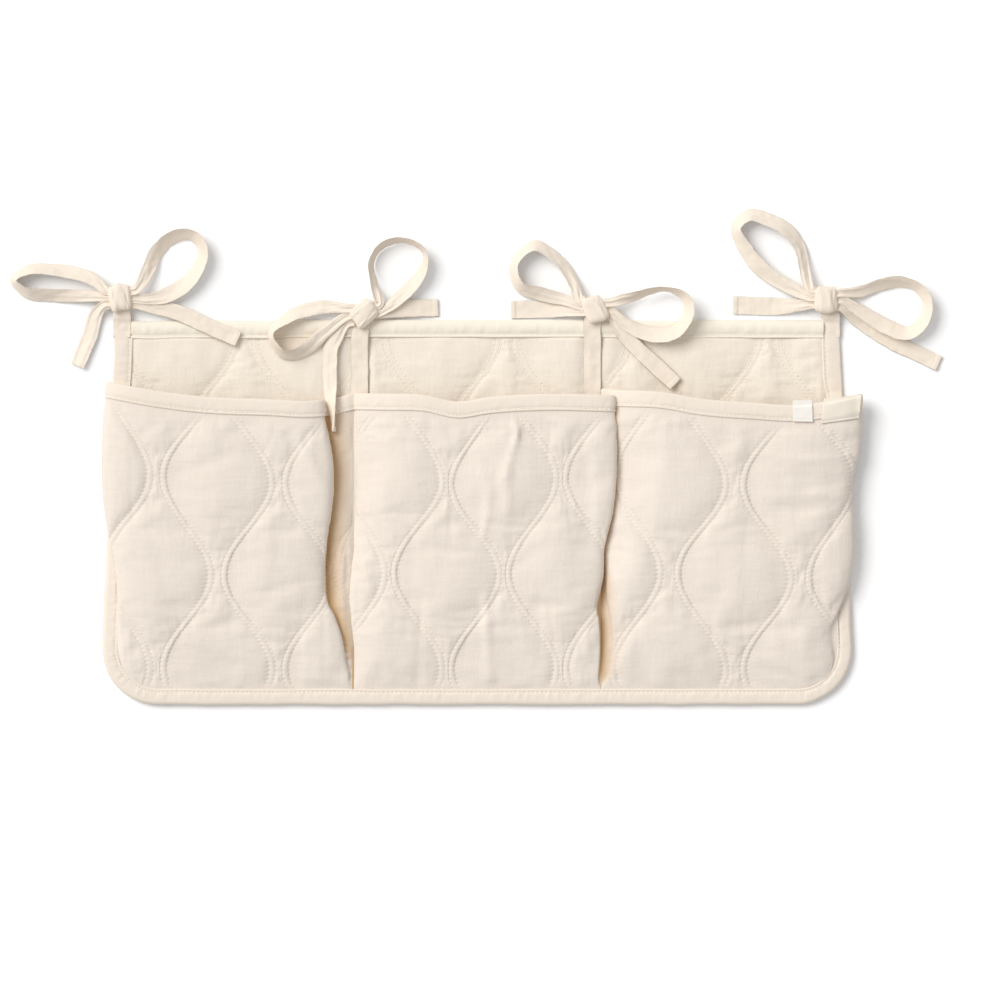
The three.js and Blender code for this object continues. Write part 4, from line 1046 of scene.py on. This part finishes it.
def add_tape(name, seed, route, start, end=None):
    """A tail, or a loop with both its ends."""
    bow, side = name[:5], name.rsplit("_", 1)[1]
    knot_x, knot_y = KNOTS[bow]
    away = 1 if side == "right" else -1
    height = TAIL_ROOT if end is None else START_ROOT
    # Where a tape comes out of the knot it is bunched
    stations = [(away * out, start, height, 0, 0.5) for out in ROOT_AWAY]
    stations += [resting(name, *point) for point in route]
    if end is not None:
        stations += [(away * out, end, END_ROOT, 0, 0.5) for out in ROOT_AWAY[::-1]]
    sections, length = ribbon(stations, TAPE_WIDTH, seed, hem_end=end is None)
    sections += [knot_x, knot_y, 0]
    # A section that would dip through the floor lies on it
    sections[..., 2] += np.maximum(0.05 - sections[..., 2].min(axis=1, keepdims=True), 0)
    made = piece(name + "_tape", rings(sections), tape)
    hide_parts(name)
    length * MM
    bow + "_knot_wrap"
    if side == "tucked":
        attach(made, "root")
    else:
        near, far = (((knot_x + away * out) * MM, knot_y * MM, BEND_Z * MM) for out in BEND_AWAY)
        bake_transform(made)
    print(name, round(length), "mm")


# %% Loops and tails
for number, (name, (start, end, route)) in enumerate(LOOPS.items()):
    add_tape(name, 100 + 5 * number, route, start, end)
for number, (name, (start, route)) in enumerate(TAILS.items()):
    add_tape(name, 200 + 5 * number, route, start)

# %% [markdown]
# ## Knots and sewn tapes
# A knot is the tape wrapped once round the loops. Its surface is a rounded lump with two or three soft
# pleats across the front, pinched at both sides where the loops come out.

# %% Knots
KNOT_LOW, KNOT_HIGH = 6.1, 14.2
KNOT_LEAN = {"bow_1": 0.12, "bow_2": -0.8, "bow_3": 0.42, "bow_4": 0.0}


def knot_sections(centre, lean, seed):
    """Closed sections of a knot from its lower to its upper end. The wrap's pleats run the same way."""
    middle, half = (KNOT_LOW + KNOT_HIGH) / 2, (KNOT_HIGH - KNOT_LOW) / 2
    turn = np.linspace(0, 2 * math.pi, 72, endpoint=False)
    round_x, round_z = np.cos(turn), np.sin(turn)
    t = np.linspace(-1, 1, 41)[:, None]
    full = np.maximum(1 - t**4, 0.004) ** 0.5
    wide = 8.9 * (0.55 + 0.45 * full) * (1 + 0.12 * t * math.sin(2 + seed)) * np.minimum(full * 2.2, 1)
    x = np.sign(round_x) * np.abs(round_x) ** 0.5 * wide
    pleats = 0.35 * np.cos(0.9 * x + 1.9 * t + seed) + 0.2 * np.cos(1.9 * x - 1.6 * t + 2 * seed)
    edge = 1.1 * smooth((x - 4.2 + 2.2 * t) / 0.8) + 0.8 * smooth((-x - 5.6 - 1.2 * t) / 0.8)
    z = middle + np.sign(round_z) * np.abs(round_z) ** 0.85 * half * full
    z += np.clip(round_z, 0, 1) ** 0.5 * full * (pleats - edge + 0.35 * noise(x, 10 * t, 4, 5, 300 + seed))
    y = 10.8 * t + 0.8 * np.cos(0.35 * x + seed) + 0.5 * noise(x, 10 * t, 5, 5, 310 + seed)
    turned_x = centre[0] + x * math.cos(lean) - y * math.sin(lean)
    turned_y = centre[1] + x * math.sin(lean) + y * math.cos(lean)
    return np.stack([turned_x, turned_y, np.clip(z, 6.15, 15.3)], -1)[:, ::-1]


for number, (name, centre) in enumerate(KNOTS.items()):
    form = rings(knot_sections(centre, KNOT_LEAN[name], number))
    dress(name + "_knot_wrap", form, tape, "tie_cotton", name + "_knot")

# %% Tapes sewn to the back
# Heights of the cloth up a tape at a corner, and up one over a divider seam
AT_CORNER = [(139, 2.6), (147, 2.8), (151.5, 3.4), (155, 4.8)]
OVER_SEAM = [(91, 3.6), (105, 3.5), (128, 3.6), (139.5, 5.1), (149, 5.5)]
STRAPS = {
    "tie_tape_1": ("bow_1", -282.4, 14.5, AT_CORNER), "tie_tape_2": ("bow_2", -93.6, 14, OVER_SEAM),
    "tie_tape_3": ("bow_3", 91.4, 14, OVER_SEAM), "tie_tape_4": ("bow_4", 281.4, 14.5, AT_CORNER),
}
for number, (name, (bow, tape_x, width, seats)) in enumerate(STRAPS.items()):
    knot_x, knot_y = KNOTS[bow]
    stations = [(tape_x, y, z, 0, 1) for y, z in seats if y < knot_y - 10]
    lead = (knot_x + tape_x) / 2, (stations[-1][1] + knot_y) / 2 + 1
    stations += [(*lead, 5.4, 0, 0.92), (knot_x, knot_y + 2, 5.5, 0, 0.66)]
    sections, length = ribbon(stations, width, 400 + 5 * number)
    made = dress(name + "_strap", rings(sections), tape, "tie_cotton", name)
    width * MM
    length * MM
print("knots and sewn tapes:", len(KNOTS), len(STRAPS))

# %% [markdown]
# ## Labels
# Two small labels are stitched to the right pocket's mouth binding. Both are left bare here, with their
# woven ground, folded ends and the row of stitches that holds them.

# %% Bare labels
def label(name, corners, turn_over, material):
    """A bare woven patch laid over the right pocket's mouth binding between four corners.

    The corners are lower left, lower right, upper right and upper left. The patch rests on the binding
    and on the quilt, and its upper end dips behind the mouth where it is folded over it.
    """
    body = grids["right"][2]
    shoulder = int(np.argmax(body[-20, :, 0]))
    u, v = np.meshgrid(np.linspace(0, 1, 41), np.linspace(0, 1, 45))
    low_left, low_right, high_right, high_left = np.array(corners, float)[:, :, None, None]
    x, y = (1 - v) * ((1 - u) * low_left + u * low_right) + v * (u * high_right + (1 - u) * high_left)
    z = np.empty_like(x)
    for i, j in np.ndindex(x.shape):
        row = min(np.searchsorted(body[:, 100, 1], y[i, j]), ROWS - 1)
        z[i, j] = np.interp(x[i, j], body[row, :shoulder, 0], body[row, :shoulder, 2])
    below = curve(x, POCKETS["right"]["mouth"]) - y
    z += 2.1 - 0.9 * smooth((below - 12.5) / 3)
    for _ in range(10):
        z[1:-1, 1:-1] = (z[:-2, 1:-1] + z[2:, 1:-1] + z[1:-1, :-2] + z[1:-1, 2:]) / 4
    z -= turn_over * (1 - np.clip(below / 2.2, -0.3, 1)) ** 2
    z -= 0.35 * np.exp(-(((v - 0.1) / 0.03) ** 2)) * (0.6 + 0.4 * np.cos(2 * math.pi * x / 2.2))
    front = np.stack([x, y, z + 0.25 * noise(x, y, 8, 6, 61)], -1)
    form = closed_layer(front, front - [0, 0, 0.45])
    made = dress(name + "_woven", form, material, "label_tape", name)


label("label_small", [(251, 72.4), (266.6, 72.0), (266.2, 89.4), (250.6, 89.0)], 0.6, bleached)
label("label_end", [(273.0, 70.6), (303.6, 74.8), (305.6, 93.6), (275.4, 90.6)], 1.4, woven)

# %% [markdown]
# ## Light and ground
# The studio is bright and even: a pale dome, and one large lamp up on the left that gives the soft shadow
# on the right and below. The floor shows white to the camera and still takes the organizer's shadow.

# %% Floor, dome and lamp
def looked_at(tree):
    """1 for rays of the camera, of mirrors and of glass, 0 for the light that falls on the cloth."""
    rays = Wire(tree)
    seen = rays.node("ShaderNodeLightPath", output="Is Camera Ray")
    for kind in ("Is Glossy Ray", "Is Transmission Ray"):
        seen = rays.math("MAXIMUM", seen, rays.node("ShaderNodeLightPath", output=kind))
    return seen


def ground_material():
    """A matt white floor: as the camera sees it, it is a little brighter than as it lights the cloth."""
    material, tree = bare_material("ground")
    seen = looked_at(tree)
    colour = seen.mix((0.8, 0.8, 0.8, 1), (1.06, 1.06, 1.06, 1))
    surface = seen.node("ShaderNodeBsdfDiffuse", {"Color": colour})
    seen.node("ShaderNodeOutputMaterial", {"Surface": surface})
    return material


FLOOR_HALF, FLOOR_Z = 4000, -0.3
floor = np.array([(-1, -1, 0), (1, -1, 0), (1, 1, 0), (-1, 1, 0)]) * FLOOR_HALF + [0, 0, FLOOR_Z]
ground = piece("ground", (floor, [np.array([[0, 1, 2, 3]])]), ground_material())
world = bpy.data.worlds.new("studio")
world.use_nodes = True
dome = world.node_tree.nodes["Background"]
dome.inputs["Color"].default_value = (0.985, 0.99, 1, 1)
DOME_LIGHT = 0.54
strength = DOME_LIGHT + (1 - DOME_LIGHT) * looked_at(world.node_tree)
world.node_tree.links.new(strength.socket, dome.inputs["Strength"])
scene.world = world
lamp = bpy.data.objects.new("window", bpy.data.lights.new("window", "SUN"))
lamp.data.energy = 2.25
lamp.data.angle = math.radians(40)
lamp.data.color = (1, 0.99, 0.975)
lamp.rotation_euler = (math.radians(-25), math.radians(-39), 0)
scene.collection.objects.link(lamp)
print("lamp and dome are set")

# %% [markdown]
# ## Corners of a box
# The dressed organizer has to stay in the space of its imported model. A helper lists a box's corners as
# numbers.

# %% Box corners
def corners(box):
    return [list(map(float, corner)) for corner in box]
